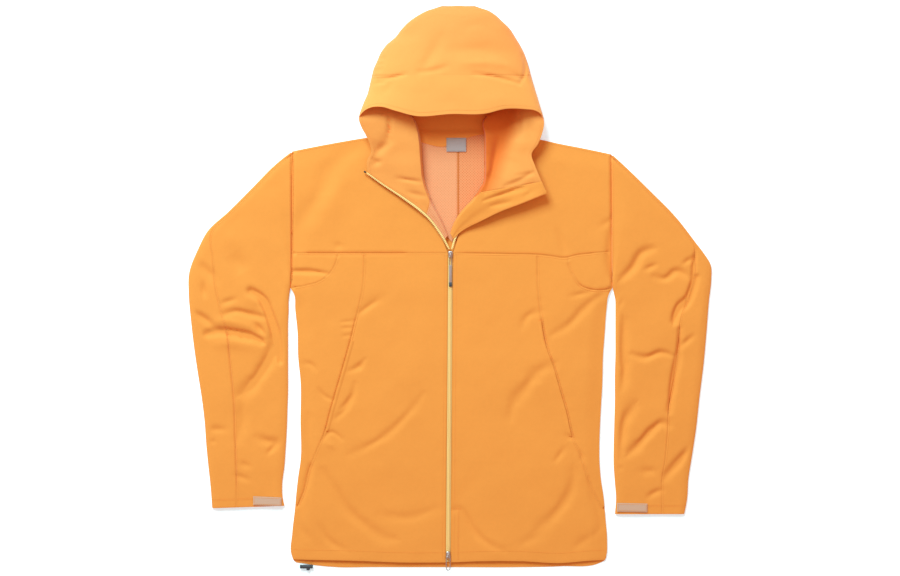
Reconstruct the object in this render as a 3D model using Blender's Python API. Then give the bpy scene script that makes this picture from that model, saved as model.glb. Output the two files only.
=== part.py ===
"""A hooded soft-shell running jacket, laid out flat on its back with the sleeves folded down.

The front faces up (+Z), the hood points to +Y and the hem to -Y. The wearer's right side is at -X.
The origin lies under the middle of the jacket, on the surface that it rests on. Tables are in
millimetres, measured on the laid garment, and every mesh is written in metres.
"""

import math

import bmesh
import bpy
from mathutils import Matrix, Vector
from mathutils.geometry import delaunay_2d_cdt

MM = 0.001

# ---------------------------------------------------------------- driving sizes, in millimetres
CLOTH = 1.5            # soft-shell wall
MESH_CLOTH = 1.0       # mesh lining, label and welt
GAP = 0.3              # between two pieces at a seam
BACK_TOP = CLOTH       # the back panel lies on the surface
LOW_TOP = BACK_TOP + GAP + CLOTH + 0.1     # outer face of a front panel that lies on the back
LOFT = 3.0             # how far the front stands above that away from its edges
EDGE_RUN = 34.0        # width over which a front panel comes down to its side seam
UNDERARM_RUN = 40.0    # length over which that starts, below the armhole
HEM_RUN = 30.0         # length over which the front comes down to its hem
HEM_Y = -466.0         # height on the garment (y) of the front hem
FRONT_STEP = 18.0      # mesh step of the front panels
SLEEVE_HIGH = 7.2      # height of a laid sleeve over most of its length
SLEEVE_ARMHOLE = 8.2   # and at the armhole
FOLD_RADIUS = 3.2      # bottom radius of a sleeve's folded edge
FOLD_RUN = 16.0        # how far in from its folded edge a sleeve reaches its full height
TAPE_HALF = 3.75       # half the width of the closed zip chain
HALF_TAPE_WIDE = 6.0   # width of each open half that shows on the opened collar
HALF_TAPE_THICK = 1.3
CHAIN_HIGH = 2.0       # thickness of the zip chain
YOKE_SEAM = 59.0       # height on the garment (y) of the chest seam
WELT_IN, WELT_WIDE = 1.2, 6.3               # pocket welt: in from the seam, and across

# ---------------------------------------------------------------- tables, x and y in millimetres
# Side edge of the body from the underarm to the hem, one row per measured point: x, y.
SIDE_RIGHT = [(-271, 0), (-265, -10), (-263, -36), (-259, -76), (-258, -117), (-254, -158),
              (-254, -226), (-254, -294), (-258, -321), (-261, -348), (-264, -380), (-268, -416),
              (-269, -454), (-266, -461)]
SIDE_LEFT = [(276, 0), (270, -10), (266, -36), (263, -76), (260, -117), (259, -158), (256, -212),
             (254, -260), (254, -294), (256, -321), (261, -355), (264, -389), (267, -430),
             (266, -453), (263, -462)]
# Armhole, shoulder to underarm, then the shoulder line from the armhole to the neck.
ARMHOLE_RIGHT = [(-268.5, 232), (-271, 0)]
ARMHOLE_LEFT = [(274.5, 227), (276, 0)]
SHOULDER_RIGHT = [(-268.5, 232), (-254, 235), (-186, 248), (-144, 255), (-76, 261.7)]
SHOULDER_LEFT = [(274.5, 227), (222, 238), (181, 246), (154, 252), (79, 261.7)]
# Hems, right to left.
FRONT_HEM_RIGHT = [(-266, -461), (-220, -462), (-169, -463), (-84, -466), (-7.2, -466)]
FRONT_HEM_LEFT = [(0.8, -466), (52, -464), (120, -464), (188, -467), (239, -463), (263, -462)]
BACK_HEM = [(-269, -454), (-264, -465), (-250, -468), (-193, -475), (-135, -478), (1, -479),
            (120, -478), (188, -473), (255, -467), (264, -462), (266, -453)]
# Seam between the front and side panels: down the chest, through the pocket, to the side.
CHEST_SEAM_RIGHT = [(-145, YOKE_SEAM), (-149, -5), (-159, -49), (-169, -90), (-186, -150),
                    (-203, -209), (-212, -243), (-225, -274), (-239, -308), (-248, -345),
                    (-258.5, -370)]
CHEST_SEAM_LEFT = [(149, YOKE_SEAM), (150, -5), (156, -56), (164, -99), (176, -133), (188, -175),
                   (198, -209), (208, -252), (222, -286), (235, -325), (248, -356), (259, -374)]
# Underarm gusset seam, from the chest seam out to the armhole.
GUSSET_RIGHT = [(-190, YOKE_SEAM), (-194, 42), (-201, 29), (-210, 19), (-224, 10), (-246, 4),
                (-271, 0)]
GUSSET_LEFT = [(200, YOKE_SEAM), (202, 40), (209, 22), (222, 4), (242, -3), (262, -3), (276, 0)]
# Neck edge of the yokes, under the opened collar, down to the zip.
YOKE_NECK_RIGHT = [(-76, 261.7), (-71, 233), (-67, 199), (-60, 165), (-47, 136), (-30, 112),
                   (-15, 88), (-9, 73), (-3.4, YOKE_SEAM)]
YOKE_NECK_LEFT = [(79, 261.7), (81, 233), (81, 199), (76, 172), (57, 139), (35, 116), (17, 94),
                  (10, 75), (5.0, YOKE_SEAM)]
# Zip centre line, top to bottom.
ZIP_LINE = [(0.8, YOKE_SEAM + 4), (-0.9, -192), (-3.2, -468)]

# Sleeves: one row per section, from the armhole to the cuff. outer and inner are the folded
# edges in plan, seam is how far the elbow seam lies in from the outer edge, high the height.
SLEEVE_RIGHT = [
    # outer x, outer y, inner x, inner y, seam, high
    (-269.2, 231.5, -272.0, 10, 4, SLEEVE_ARMHOLE),
    (-295, 211, -273, 4, 4, SLEEVE_ARMHOLE),
    (-336, 170, -273.5, -2, 4, SLEEVE_ARMHOLE),
    (-377, 129, -274, -11, 4, SLEEVE_HIGH),
    (-409, 100, -274, -24, 6, SLEEVE_HIGH),
    (-428, 66, -274, -39, 31, SLEEVE_HIGH),
    (-443, 26, -275, -60, 50, SLEEVE_HIGH),
    (-444, -8, -275, -87, 59, SLEEVE_HIGH),
    (-440, -56, -275, -117, 66, SLEEVE_HIGH),
    (-435, -99, -275, -144, 63, SLEEVE_HIGH),
    (-429, -141, -275, -175, 60, SLEEVE_HIGH),
    (-422, -185, -276, -206, 56, SLEEVE_HIGH),
    (-417, -226, -277, -238, 52, SLEEVE_HIGH),
    (-414, -267, -279, -272, 50, SLEEVE_HIGH),
    (-411, -298, -281, -301, 48, SLEEVE_HIGH),
    (-407, -335, -285, -335, 45, 6.8),
    (-405, -359, -284, -357, 43, 6.6),
    (-404, -374, -281, -370, 41, 6.4),
]
SLEEVE_LEFT = [
    (275.6, 226.5, 277.2, 10, 4, SLEEVE_ARMHOLE),
    (298, 206, 279, 4, 4, SLEEVE_ARMHOLE),
    (337, 168, 280, -3, 4, SLEEVE_ARMHOLE),
    (385, 119, 281, -13, 4, SLEEVE_HIGH),
    (419, 75, 281, -25, 5, SLEEVE_HIGH),
    (433, 60, 281, -38, 18, SLEEVE_HIGH),
    (443, 39, 281, -58, 32, SLEEVE_HIGH),
    (444, 15, 281, -82, 40, SLEEVE_HIGH),
    (440, -22, 281, -112, 54, SLEEVE_HIGH),
    (436, -73, 280, -148, 53, SLEEVE_HIGH),
    (431, -128, 280, -190, 54, SLEEVE_HIGH),
    (424, -185, 279, -231, 55, SLEEVE_HIGH),
    (418, -240, 278, -269, 50, SLEEVE_HIGH),
    (411, -286, 278, -301, 46, SLEEVE_HIGH),
    (405, -325, 280, -330, 45, 6.8),
    (403, -357, 282, -358, 43, 6.6),
    (398, -384, 280, -384, 38, 6.4),
]
FOOT_LAP = 6.0         # how far the back of the hood runs under the foot of a hood side
HOOD_NECK_Y = 262.0    # the neck seam between the hood and the back
UNDER_SEAM = 0.62      # place of the seam on a sleeve's underside, as a share of its width

# Hood shell, far edge to brim seam to brim edge: right edge x, y, z, left edge x, y, z, ridge z.
HOOD_ROWS = [
    # right x, y, z,  left x, y, z,  ridge
    (-14, 479.4, 1.9, 42, 479.4, 1.9, 4),
    (-37, 472, 1.9, 64, 472, 1.9, 10),
    (-53, 464, 1.9, 77, 464, 1.9, 16),
    (-69, 453, 1.9, 89, 453, 1.9, 22),
    (-82, 440, 1.9, 103, 440, 1.9, 28),
    (-93, 426, 1.9, 109, 426, 1.9, 33),
    (-108, 413, 2.2, 119, 413, 2.2, 37),
    (-118, 399, 2.8, 126, 399, 2.8, 41),
    (-124, 385, 4.5, 131, 385, 4.5, 45),
    (-130, 371, 7.0, 135, 371, 7.0, 48),
    (-133, 358, 10.3, 138, 358, 10.3, 50),
]
HOOD_SEAM_ROW = len(HOOD_ROWS) - 1
HOOD_ROWS += [
    (-136, 344, 14, 142, 344, 14, 52),
    (-139, 330, 17.5, 146, 330, 17.5, 54),
    (-145, 316, 21.5, 150, 316, 21.5, 56),
    (-150, 303, 25.5, 154, 302, 25.5, 57),
]
# The brim's free edge, right corner to left corner: x, y, z.
BRIM_EDGE = [(-154, 289, 29.5), (-147, 297, 36), (-134, 304, 42), (-117, 305, 47), (-92, 298, 52),
             (-58, 289, 55), (1, 292, 57), (60, 293, 55), (93, 301, 51), (127, 301, 45),
             (144, 299, 40), (154, 293, 35), (159, 281, 29.5)]

# Opened hood sides and collar, one row per station from the crown's edge round to the zip.
# Each row runs from the free outer edge over the roll to the foot beside the neck: x, y, z.
FLAP_RIGHT = [
    # outer x, y, z,  crest x, y, z,  foot x, y, z
    (-128, 376, 4.8, -119, 375, 4.2, -114, 374, 3.6),
    (-133, 358, 10.0, -112, 356, 6.5, -105, 355, 3.6),
    (-140, 328, 17.6, -97, 325, 12, -91, 323, 3.6),
    (-150, 303, 25.2, -80, 303, 20, -69, 299, 3.8),
    (-154, 286, 29.0, -67, 286, 26, -53, 284, 4.4),
    (-149, 270, 27, -60, 265, 26, -46, 265, 5.0),
    (-140, 254, 24, -57, 247, 26, -43, 246, 5.4),
    (-133, 232, 19, -55, 228, 25, -43, 228, 5.4),
    (-141, 213, 16, -53, 206, 24, -42, 205, 5.4),
    (-140, 196, 13, -52, 189, 22, -40, 188, 5.4),
    (-115, 178, 13, -48, 174, 20, -37, 173, 5.4),
    (-81, 156, 14, -43, 159, 19, -32, 160, 5.4),
    (-50, 133, 14, -33, 137, 17, -23, 139, 5.4),
    (-32, 117, 13, -23, 120, 15, -14, 124, 5.6),
    (-17, 97, 11.5, -13, 102, 12.5, -8, 107, 5.8),
    (-8, 83, 9.5, -6, 87, 10, -2.5, 90, 6.5),
]
FLAP_LEFT = [
    (132, 376, 4.8, 124, 375, 4.2, 119, 374, 3.6),
    (138, 358, 10.0, 118, 356, 6.5, 111, 355, 3.6),
    (146, 328, 17.6, 101, 325, 12, 94, 323, 3.6),
    (154, 302, 25.2, 82, 303, 20, 72, 299, 3.8),
    (159, 280, 29.0, 65, 282, 26, 55, 282, 4.4),
    (156, 262, 28, 67, 260, 26, 58, 260, 5.0),
    (148, 242, 26, 68, 237, 26, 59, 234, 5.4),
    (138, 227, 24, 68, 218, 26, 59, 216, 5.4),
    (144, 206, 26, 68, 198, 26, 59, 195, 5.4),
    (153, 184, 27, 67, 179, 26, 57, 178, 5.4),
    (164, 160, 26, 60, 162, 25, 48, 163, 5.4),
    (119, 142, 24, 50, 147, 22, 38, 149, 5.4),
    (85, 129, 21, 38, 134, 20, 26, 137, 5.4),
    (52, 113, 17, 23, 119, 16, 14, 122, 5.6),
    (23, 98, 12, 11, 103, 12.5, 6, 107, 5.8),
    (5, 83, 9.5, 3.2, 87, 10, 1.2, 92, 6.5),
]
NECK_SEAM_RIGHT = 12   # row of the neck seam on the opened collar, where the front lining starts
NECK_SEAM_LEFT = 10    # and on the other side, where the front facing starts
ZIP_JOIN_Y, ZIP_JOIN_Z = 66.0, 9.2      # where the two open halves meet, above the slider
ZIP_JOIN_IN, ZIP_JOIN_WIDE = 1.2, 2.4   # how far each is from the middle there, and how wide
ZIP_END_RIGHT = 9      # row of the opened collar where each half of the open zip ends
ZIP_END_LEFT = 10
# Mesh lining of the back, seen through the neck, then its centre-back seam.
LINING_RIGHT = [(13.3, 261), (-57, 261), (-56, 233), (-54, 207), (-50, 165), (-37, 130),
                (-16, 101), (3, 78), (14.5, 100)]
LINING_LEFT = [(14, 261), (59, 261), (64, 233), (64, 196), (57, 165), (38, 138), (22, 112),
               (14.8, 100)]

# Largest folds: x, y points along each, half width, height (below zero for a trough).
FRONT_FOLDS = [
    ([(-141, 246), (-178, 224), (-200, 202), (-212, 173), (-224, 148)], 17, -1.6),
    ([(-150, 222), (-190, 196), (-196, 160)], 22, 2.2),
    ([(-110, -17), (-144, -34), (-159, -53)], 12, -1.8),
    ([(-169, -280), (-118, -255), (-84, -226), (-47, -180)], 16, -1.7),
    ([(-178, -262), (-125, -235), (-90, -208)], 18, 2.4),
    ([(-212, -311), (-169, -379), (-110, -422), (-93, -425)], 16, -1.6),
    ([(-190, -300), (-150, -350), (-100, -390)], 22, 2.6),
    ([(264, -5), (222, -39), (174, -78)], 14, -1.8),
    ([(250, 12), (205, -20), (165, -50)], 16, 2.2),
    ([(171, -128), (128, -167), (101, -218)], 18, -1.7),
    ([(188, -150), (150, -185), (125, -230)], 20, 2.4),
    ([(207, -311), (193, -363), (150, -405)], 17, -1.7),
    ([(185, -310), (170, -350), (135, -385)], 20, 2.4),
    ([(14, -376), (44, -411), (91, -444)], 15, -1.5),
]
SLEEVE_FOLDS = [
    ([(-407, -71), (-370, -72), (-322, -85)], 9, -3.2),
    ([(-410, -55), (-368, -52), (-326, -62)], 11, 3.0),
    ([(-336, -2), (-306, -20), (-290, -75), (-284, -120)], 9, -2.6),
    ([(-318, -20), (-304, -50), (-298, -95)], 12, 2.4),
    ([(-300, -95), (-317, -141), (-350, -180)], 14, -2.6),
    ([(-325, -255), (-290, -260)], 10, -1.8),
    ([(414, 12), (408, -12), (390, -40), (382, -56)], 9, -3.2),
    ([(396, 12), (380, -14), (366, -42)], 12, 2.8),
    ([(295, -60), (294, -110), (292, -165)], 14, -2.4),
    ([(312, -50), (310, -110)], 12, 2.4),
    ([(312, -200), (296, -238), (288, -286)], 13, -2.4),
    ([(304, -282), (330, -255), (368, -230)], 9, -2.8),
]
HOOD_FOLDS = [
    ([(-50, 369), (-42, 390), (-25, 411)], 16, -2.5),
    ([(2, 408), (50, 400), (104, 388)], 16, -3.0),
    ([(34, 380), (111, 382)], 10, 2.0),
    ([(-121, 366), (-108, 350)], 8, -2.5),
    ([(124, 366), (112, 348)], 9, -2.5),
]
FLAP_FOLDS = [
    ([(-104, 284), (-103, 258), (-118, 236), (-132, 224)], 12, -5.0),
    ([(98, 246), (83, 207), (74, 185)], 13, -7.0),
    ([(118, 292), (120, 262)], 11, -3.5),
    ([(106, 173), (140, 184)], 10, -2.5),
]

# Hard and small pieces.
SLIDER_LONG, SLIDER_WIDE, SLIDER_BODY = 12.0, 8.0, 2.4
SLIDER_TOP_Y = 57.0
SLIDER_BOTTOM_Y = -453.0
PIN_IN, PIN_UP = 3.2, 1.2                        # the pull's bar, in from the slider's end, and up
PULL_LONG, PULL_WIDE, PULL_THICK = 52.0, 5.0, 1.6
RING_LONG, RING_WIDE = 24.0, 8.0
LABEL_BOX = (-6.0, 231.5, 27.5, 255.0)           # x, y low, x, y high
TAB_RIGHT = ((-334, -361), (-283, -367))         # centre line of the cuff tab, x, y
TAB_LEFT = ((286, -373), (337, -374))
TAB_WIDE, TAB_THICK = 15.0, 1.2
CUFF_TOP = 6.9                                   # height of a cuff's upper face
LOCK_LONG, LOCK_RADIUS = 22.0, 3.3
LOCK_AT = (-244.0, -473.2)
BUTTON_LONG, BUTTON_RADIUS = 6.0, 3.0
BUTTON_FROM_LOCK = (3.0, -3.2)

ORANGE = (0.83, 0.34, 0.07)
HOOD_ORANGE = (0.87, 0.40, 0.10)
PEACH = (0.86, 0.36, 0.15)
PALE_YELLOW = (0.92, 0.60, 0.25)
SILVER = (0.45, 0.45, 0.46)
DARK = (0.06, 0.06, 0.08)
LABEL_GREY = (0.42, 0.42, 0.44)
TAB_BEIGE = (0.72, 0.46, 0.32)


# ---------------------------------------------------------------- materials and mesh helpers
def material(name, colour, roughness=0.85, metallic=0.0):
    """A Principled material, made once for each name."""
    found = bpy.data.materials.get(name)
    if found:
        return found
    made = bpy.data.materials.new(name)
    made.use_nodes = True
    shader = made.node_tree.nodes["Principled BSDF"]
    shader.inputs["Base Color"].default_value = (*colour, 1.0)
    shader.inputs["Roughness"].default_value = roughness
    shader.inputs["Metallic"].default_value = metallic
    return made


SHELL = ("shell_cloth", ORANGE)
HOOD_CLOTH = ("hood_cloth", HOOD_ORANGE)
MESH_LINING = ("mesh_lining", PEACH)
TEETH = ("zip_teeth", PALE_YELLOW, 0.55)
METAL = ("slider_metal", SILVER, 0.35, 0.9)
DARK_PLASTIC = ("cord_lock_plastic", DARK, 0.5)
LABEL_CLOTH = ("label_cloth", LABEL_GREY)
TAB_CLOTH = ("cuff_tab_cloth", TAB_BEIGE)


def add_object(name, mesh_builder, finish):
    """Make a named object from a bmesh in millimetres."""
    bmesh.ops.recalc_face_normals(mesh_builder, faces=mesh_builder.faces)
    bmesh.ops.scale(mesh_builder, vec=(MM, MM, MM), verts=mesh_builder.verts)
    mesh = bpy.data.meshes.new(name)
    mesh_builder.to_mesh(mesh)
    mesh_builder.free()
    mesh.materials.append(material(*finish))
    item = bpy.data.objects.new(name, mesh)
    bpy.context.collection.objects.link(item)
    return item


def along(points, share):
    """The point at a share (0 to 1) of a smooth curve through the given points."""
    spans = len(points) - 1
    place = min(max(share, 0.0), 1.0) * spans
    index = min(int(place), spans - 1)
    t = place - index
    here, there = Vector(points[index]), Vector(points[index + 1])
    before = Vector(points[index - 1]) if index else here * 2 - there
    after = Vector(points[index + 2]) if index + 2 <= spans else there * 2 - here
    return 0.5 * (2 * here + (there - before) * t
                  + (2 * before - 5 * here + 4 * there - after) * t * t
                  + (3 * here - before - 3 * there + after) * t ** 3)


def nearest_on(points, x, y):
    """Distance from (x, y) to a polyline, and the share of its length where that falls."""
    best, share, run = 1e9, 0.0, 0.0
    total = sum(math.dist(a, b) for a, b in zip(points, points[1:]))
    for a, b in zip(points, points[1:]):
        dx, dy = b[0] - a[0], b[1] - a[1]
        span = math.hypot(dx, dy)
        t = min(max(((x - a[0]) * dx + (y - a[1]) * dy) / span ** 2, 0.0), 1.0)
        away = math.hypot(x - a[0] - t * dx, y - a[1] - t * dy)
        if away < best:
            best, share = away, (run + t * span) / total
        run += span
    return best, share


def fold_height(folds, x, y):
    """Sum of the folds at (x, y): each is a soft trough or ridge that fades at its ends."""
    total = 0.0
    for points, half_width, height in folds:
        away, share = nearest_on(points, x, y)
        if away < 2.6 * half_width:
            fade = math.sin(math.pi * (0.12 + 0.76 * share))
            total += height * fade * math.exp(-(away / half_width) ** 2)
    return total


def soft_step(value, run):
    """0 at or below 0, 1 at or past run, smooth between."""
    t = min(max(value / run, 0.0), 1.0)
    return t * t * (3 - 2 * t)


# ---------------------------------------------------------------- laid panels
def inset(outline, amount):
    """A closed plan outline, moved in by amount on every side."""
    area = sum(a[0] * b[1] - b[0] * a[1] for a, b in zip(outline, outline[1:] + outline[:1]))
    turn = 1 if area > 0 else -1
    moved = []
    for index, point in enumerate(outline):
        before, after = outline[index - 1], outline[(index + 1) % len(outline)]
        into = (Vector(point) - Vector(before)).normalized()
        out = (Vector(after) - Vector(point)).normalized()
        side = Vector((-(into.y + out.y), into.x + out.x)) * turn
        side = side.normalized() if side.length > 1e-6 else Vector((-out.y, out.x)) * turn
        square = max(side.dot(Vector((-out.y, out.x)) * turn), 0.35)
        moved.append(tuple(Vector(point) + side * amount / square))
    return moved


def divided(outline, step):
    """A closed outline with its long spans cut into lengths of about step."""
    points = []
    for a, b in zip(outline, outline[1:] + outline[:1]):
        count = max(1, round(math.dist(a, b) / step))
        points += [tuple(Vector(a).lerp(Vector(b), i / count)) for i in range(count)]
    return points


def inside(outline, x, y):
    """Whether (x, y) is inside a closed outline."""
    odd = False
    for a, b in zip(outline, outline[1:] + outline[:1]):
        if (a[1] > y) != (b[1] > y) and x < a[0] + (y - a[1]) / (b[1] - a[1]) * (b[0] - a[0]):
            odd = not odd
    return odd


def laid_panel(name, outline, top, thick, finish, step=FRONT_STEP, flat_base=None):
    """A panel of cloth that lies flat: its plan outline filled, lifted to top(x, y), and given
    its thickness below, square to its slope. With flat_base the underside is one flat face."""
    rim = divided(inset(outline, GAP / 2), step)
    low_x, high_x = min(p[0] for p in rim), max(p[0] for p in rim)
    low_y, high_y = min(p[1] for p in rim), max(p[1] for p in rim)
    points = [Vector(p) for p in rim]
    closed = rim + rim[:1]
    for row in range(int((high_y - low_y) / step) + 1):
        for column in range(int((high_x - low_x) / step) + 1):
            x = low_x + (column + 0.5 * (row % 2)) * step
            y = low_y + (row + 0.5) * step
            if inside(rim, x, y) and nearest_on(closed, x, y)[0] > 0.55 * step:
                points.append(Vector((x, y)))
    loop = list(range(len(rim)))
    if flat_base is not None:
        points = points[:len(rim)]
    plan, _, faces, _, _, _ = delaunay_2d_cdt(points, [], [loop], 1, 1e-5)
    probe = 1.0
    build = bmesh.new()
    upper, lower = [], []
    for p in plan:
        z = top(p.x, p.y)
        slope = math.hypot(top(p.x + probe, p.y) - z, top(p.x, p.y + probe) - z) / probe
        deep = thick * math.sqrt(1 + min(slope, 0.8) ** 2)
        under = max(z - deep, BACK_TOP + GAP) if flat_base is None else flat_base
        upper.append(build.verts.new((p.x, p.y, z)))
        lower.append(build.verts.new((p.x, p.y, under)))
    for face in faces:
        build.faces.new([upper[i] for i in face])
        build.faces.new([lower[i] for i in reversed(face)])
    for edge in [e for e in build.edges if len(e.link_faces) == 1 and e.verts[0] in set(upper)]:
        a, b = edge.verts
        build.faces.new((a, b, lower[upper.index(b)], lower[upper.index(a)]))
    return add_object(name, build, finish)


def side_x(table, y):
    """The side edge's x at a height y on the garment."""
    if y >= table[0][1]:
        return table[0][0]
    for a, b in zip(table, table[1:]):
        if y >= b[1]:
            return a[0] + (b[0] - a[0]) * (y - a[1]) / (b[1] - a[1])
    return table[-1][0]


def front_top(x, y):
    """Height of the front panels' outer face."""
    table = SIDE_RIGHT if x < 0 else SIDE_LEFT
    to_side = abs(side_x(table, y)) - abs(x)
    shoulder = SHOULDER_RIGHT if x < 0 else SHOULDER_LEFT
    to_shoulder = nearest_on(shoulder, x, y)[0]
    rise = 1 - (1 - soft_step(to_side + 4, EDGE_RUN)) * soft_step(-y, UNDERARM_RUN)
    rise *= 0.35 + 0.65 * soft_step(to_shoulder, EDGE_RUN)
    hem = soft_step(y - HEM_Y, HEM_RUN)
    height = LOW_TOP + LOFT * rise * (0.45 + 0.55 * hem)
    return max(height + fold_height(FRONT_FOLDS, x, y), LOW_TOP)


def zip_x(y):
    """The zip's centre line x at a height y."""
    for a, b in zip(ZIP_LINE, ZIP_LINE[1:]):
        if y >= b[1]:
            return a[0] + (b[0] - a[0]) * (y - a[1]) / (b[1] - a[1])
    return ZIP_LINE[-1][0]


def zip_edge(side):
    """The front panel's edge beside the chain, yoke seam to hem. side is -1 or 1."""
    reach = side * (TAPE_HALF + GAP)
    heights = (YOKE_SEAM, -60, -192, -330, HEM_Y)
    return [(zip_x(y) + reach, y) for y in heights]


def until_seam(side_points, seam_end):
    """The rows of a side table above the end of the chest seam, and those below it."""
    above = [p for p in side_points if p[1] > seam_end[1] + 4]
    below = [p for p in side_points if p[1] < seam_end[1] - 4]
    return above, below


def build_body():
    """Back, yokes, centre fronts, side fronts and underarm gussets."""
    back = (SHOULDER_RIGHT[::-1] + ARMHOLE_RIGHT[1:] + SIDE_RIGHT[1:-2] + BACK_HEM
            + SIDE_LEFT[1:-2][::-1] + ARMHOLE_LEFT[::-1] + SHOULDER_LEFT[1:])
    laid_panel("back", back, lambda x, y: BACK_TOP, CLOTH, SHELL, step=90, flat_base=0.0)
    sides = (
        ("R", -1, SIDE_RIGHT, ARMHOLE_RIGHT, SHOULDER_RIGHT, FRONT_HEM_RIGHT, CHEST_SEAM_RIGHT,
         GUSSET_RIGHT, YOKE_NECK_RIGHT),
        ("L", 1, SIDE_LEFT, ARMHOLE_LEFT, SHOULDER_LEFT, FRONT_HEM_LEFT, CHEST_SEAM_LEFT,
         GUSSET_LEFT, YOKE_NECK_LEFT),
    )
    for tag, sign, side, armhole, shoulder, hem, seam, gusset, neck in sides:
        seam_out = (side_x(armhole, YOKE_SEAM), YOKE_SEAM)
        above, below = until_seam(side, seam[-1])
        tail = (seam[-1][0] + sign * 2.4, seam[-1][1] - 3)
        zip_side = zip_edge(sign)
        if sign < 0:
            hem = hem[::-1]
        yoke = [seam_out] + shoulder + neck[1:] + [seam[0], gusset[0]]
        laid_panel("yoke_" + tag, yoke, front_top, CLOTH, SHELL)
        laid_panel("gusset_" + tag, gusset + [seam_out], front_top, CLOTH, SHELL, step=16)
        side_panel = seam + [tail] + above[1:][::-1] + gusset[::-1]
        laid_panel("side_" + tag, side_panel, front_top, CLOTH, SHELL)
        centre = zip_side + hem[1:-1] + below[::-1] + seam[::-1]
        laid_panel("chest_" + tag, centre, front_top, CLOTH, SHELL)
        build_welt(tag, seam, sign)


def build_welt(tag, seam, sign):
    """The pocket's folded welt, lying on the centre front along its seam."""
    first, last = (3, 6) if tag == "R" else (2, 7)
    line = seam[first:last + 1]
    inner = [(x - sign * (WELT_IN + WELT_WIDE), y) for x, y in line]
    edge = [(x - sign * WELT_IN, y) for x, y in line]
    laid_panel("pocket_welt_" + tag, edge + inner[::-1],
               lambda x, y: front_top(x, y) + 1.0 + MESH_CLOTH, MESH_CLOTH, SHELL, step=14)


# ---------------------------------------------------------------- lofted cloth
class Loft:
    """A sheet through rows of outer points, from which pieces of cloth wall are cut."""

    def __init__(self, rows, turned=1):
        """turned is -1 where the rows run the other way round, so that the outside stays out."""
        self.rows = [[Vector(p) for p in row] for row in rows]
        last_row, last_column = len(rows) - 1, len(rows[0]) - 1
        self.normals = []
        for i, row in enumerate(self.rows):
            line = []
            for j in range(len(row)):
                down = self.rows[min(i + 1, last_row)][j] - self.rows[max(i - 1, 0)][j]
                over = row[min(j + 1, last_column)] - row[max(j - 1, 0)]
                line.append(over.cross(down).normalized() * turned)
            self.normals.append(line)

    def standing(self, cells, direction):
        """Let the wall stand upright at these cells, with its thickness level, inwards."""
        for i, j in cells:
            inward = Vector(direction(self.rows[i][j]))
            self.normals[i][j] = -inward.normalized()

    def cut(self, name, rows, columns, finish, thick=CLOTH, cut_sides=()):
        """The wall between two rows and two columns. A cut side is set back by half a gap."""
        first_row, last_row = rows
        first, last = columns
        outer = [[self.rows[i][j].copy() for j in range(first, last + 1)]
                 for i in range(first_row, last_row + 1)]
        normals = [self.normals[i][first:last + 1] for i in range(first_row, last_row + 1)]
        back = GAP / 2
        if "first_row" in cut_sides:
            outer[0] = [a + (b - a).normalized() * back for a, b in zip(outer[0], outer[1])]
        if "last_row" in cut_sides:
            outer[-1] = [a + (b - a).normalized() * back for a, b in zip(outer[-1], outer[-2])]
        for row in outer:
            if "first_column" in cut_sides:
                row[0] += (row[1] - row[0]).normalized() * back
            if "last_column" in cut_sides:
                row[-1] += (row[-2] - row[-1]).normalized() * back
        build = bmesh.new()
        face_out = [[build.verts.new(p) for p in row] for row in outer]
        face_in = [[build.verts.new(p - n * thick) for p, n in zip(row, line)]
                   for row, line in zip(outer, normals)]
        high, wide = len(outer) - 1, len(outer[0]) - 1
        for i in range(high):
            for j in range(wide):
                for grid, turn in ((face_out, 1), (face_in, -1)):
                    quad = (grid[i][j], grid[i + 1][j], grid[i + 1][j + 1], grid[i][j + 1])
                    build.faces.new(quad[::turn])
        border = ([(0, j) for j in range(wide)] + [(i, wide) for i in range(high)]
                  + [(high, j) for j in range(wide, 0, -1)] + [(i, 0) for i in range(high, 0, -1)])
        for (i, j), (k, m) in zip(border, border[1:] + border[:1]):
            build.faces.new((face_out[i][j], face_out[k][m], face_in[k][m], face_in[i][j]))
        return add_object(name, build, finish)


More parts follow.
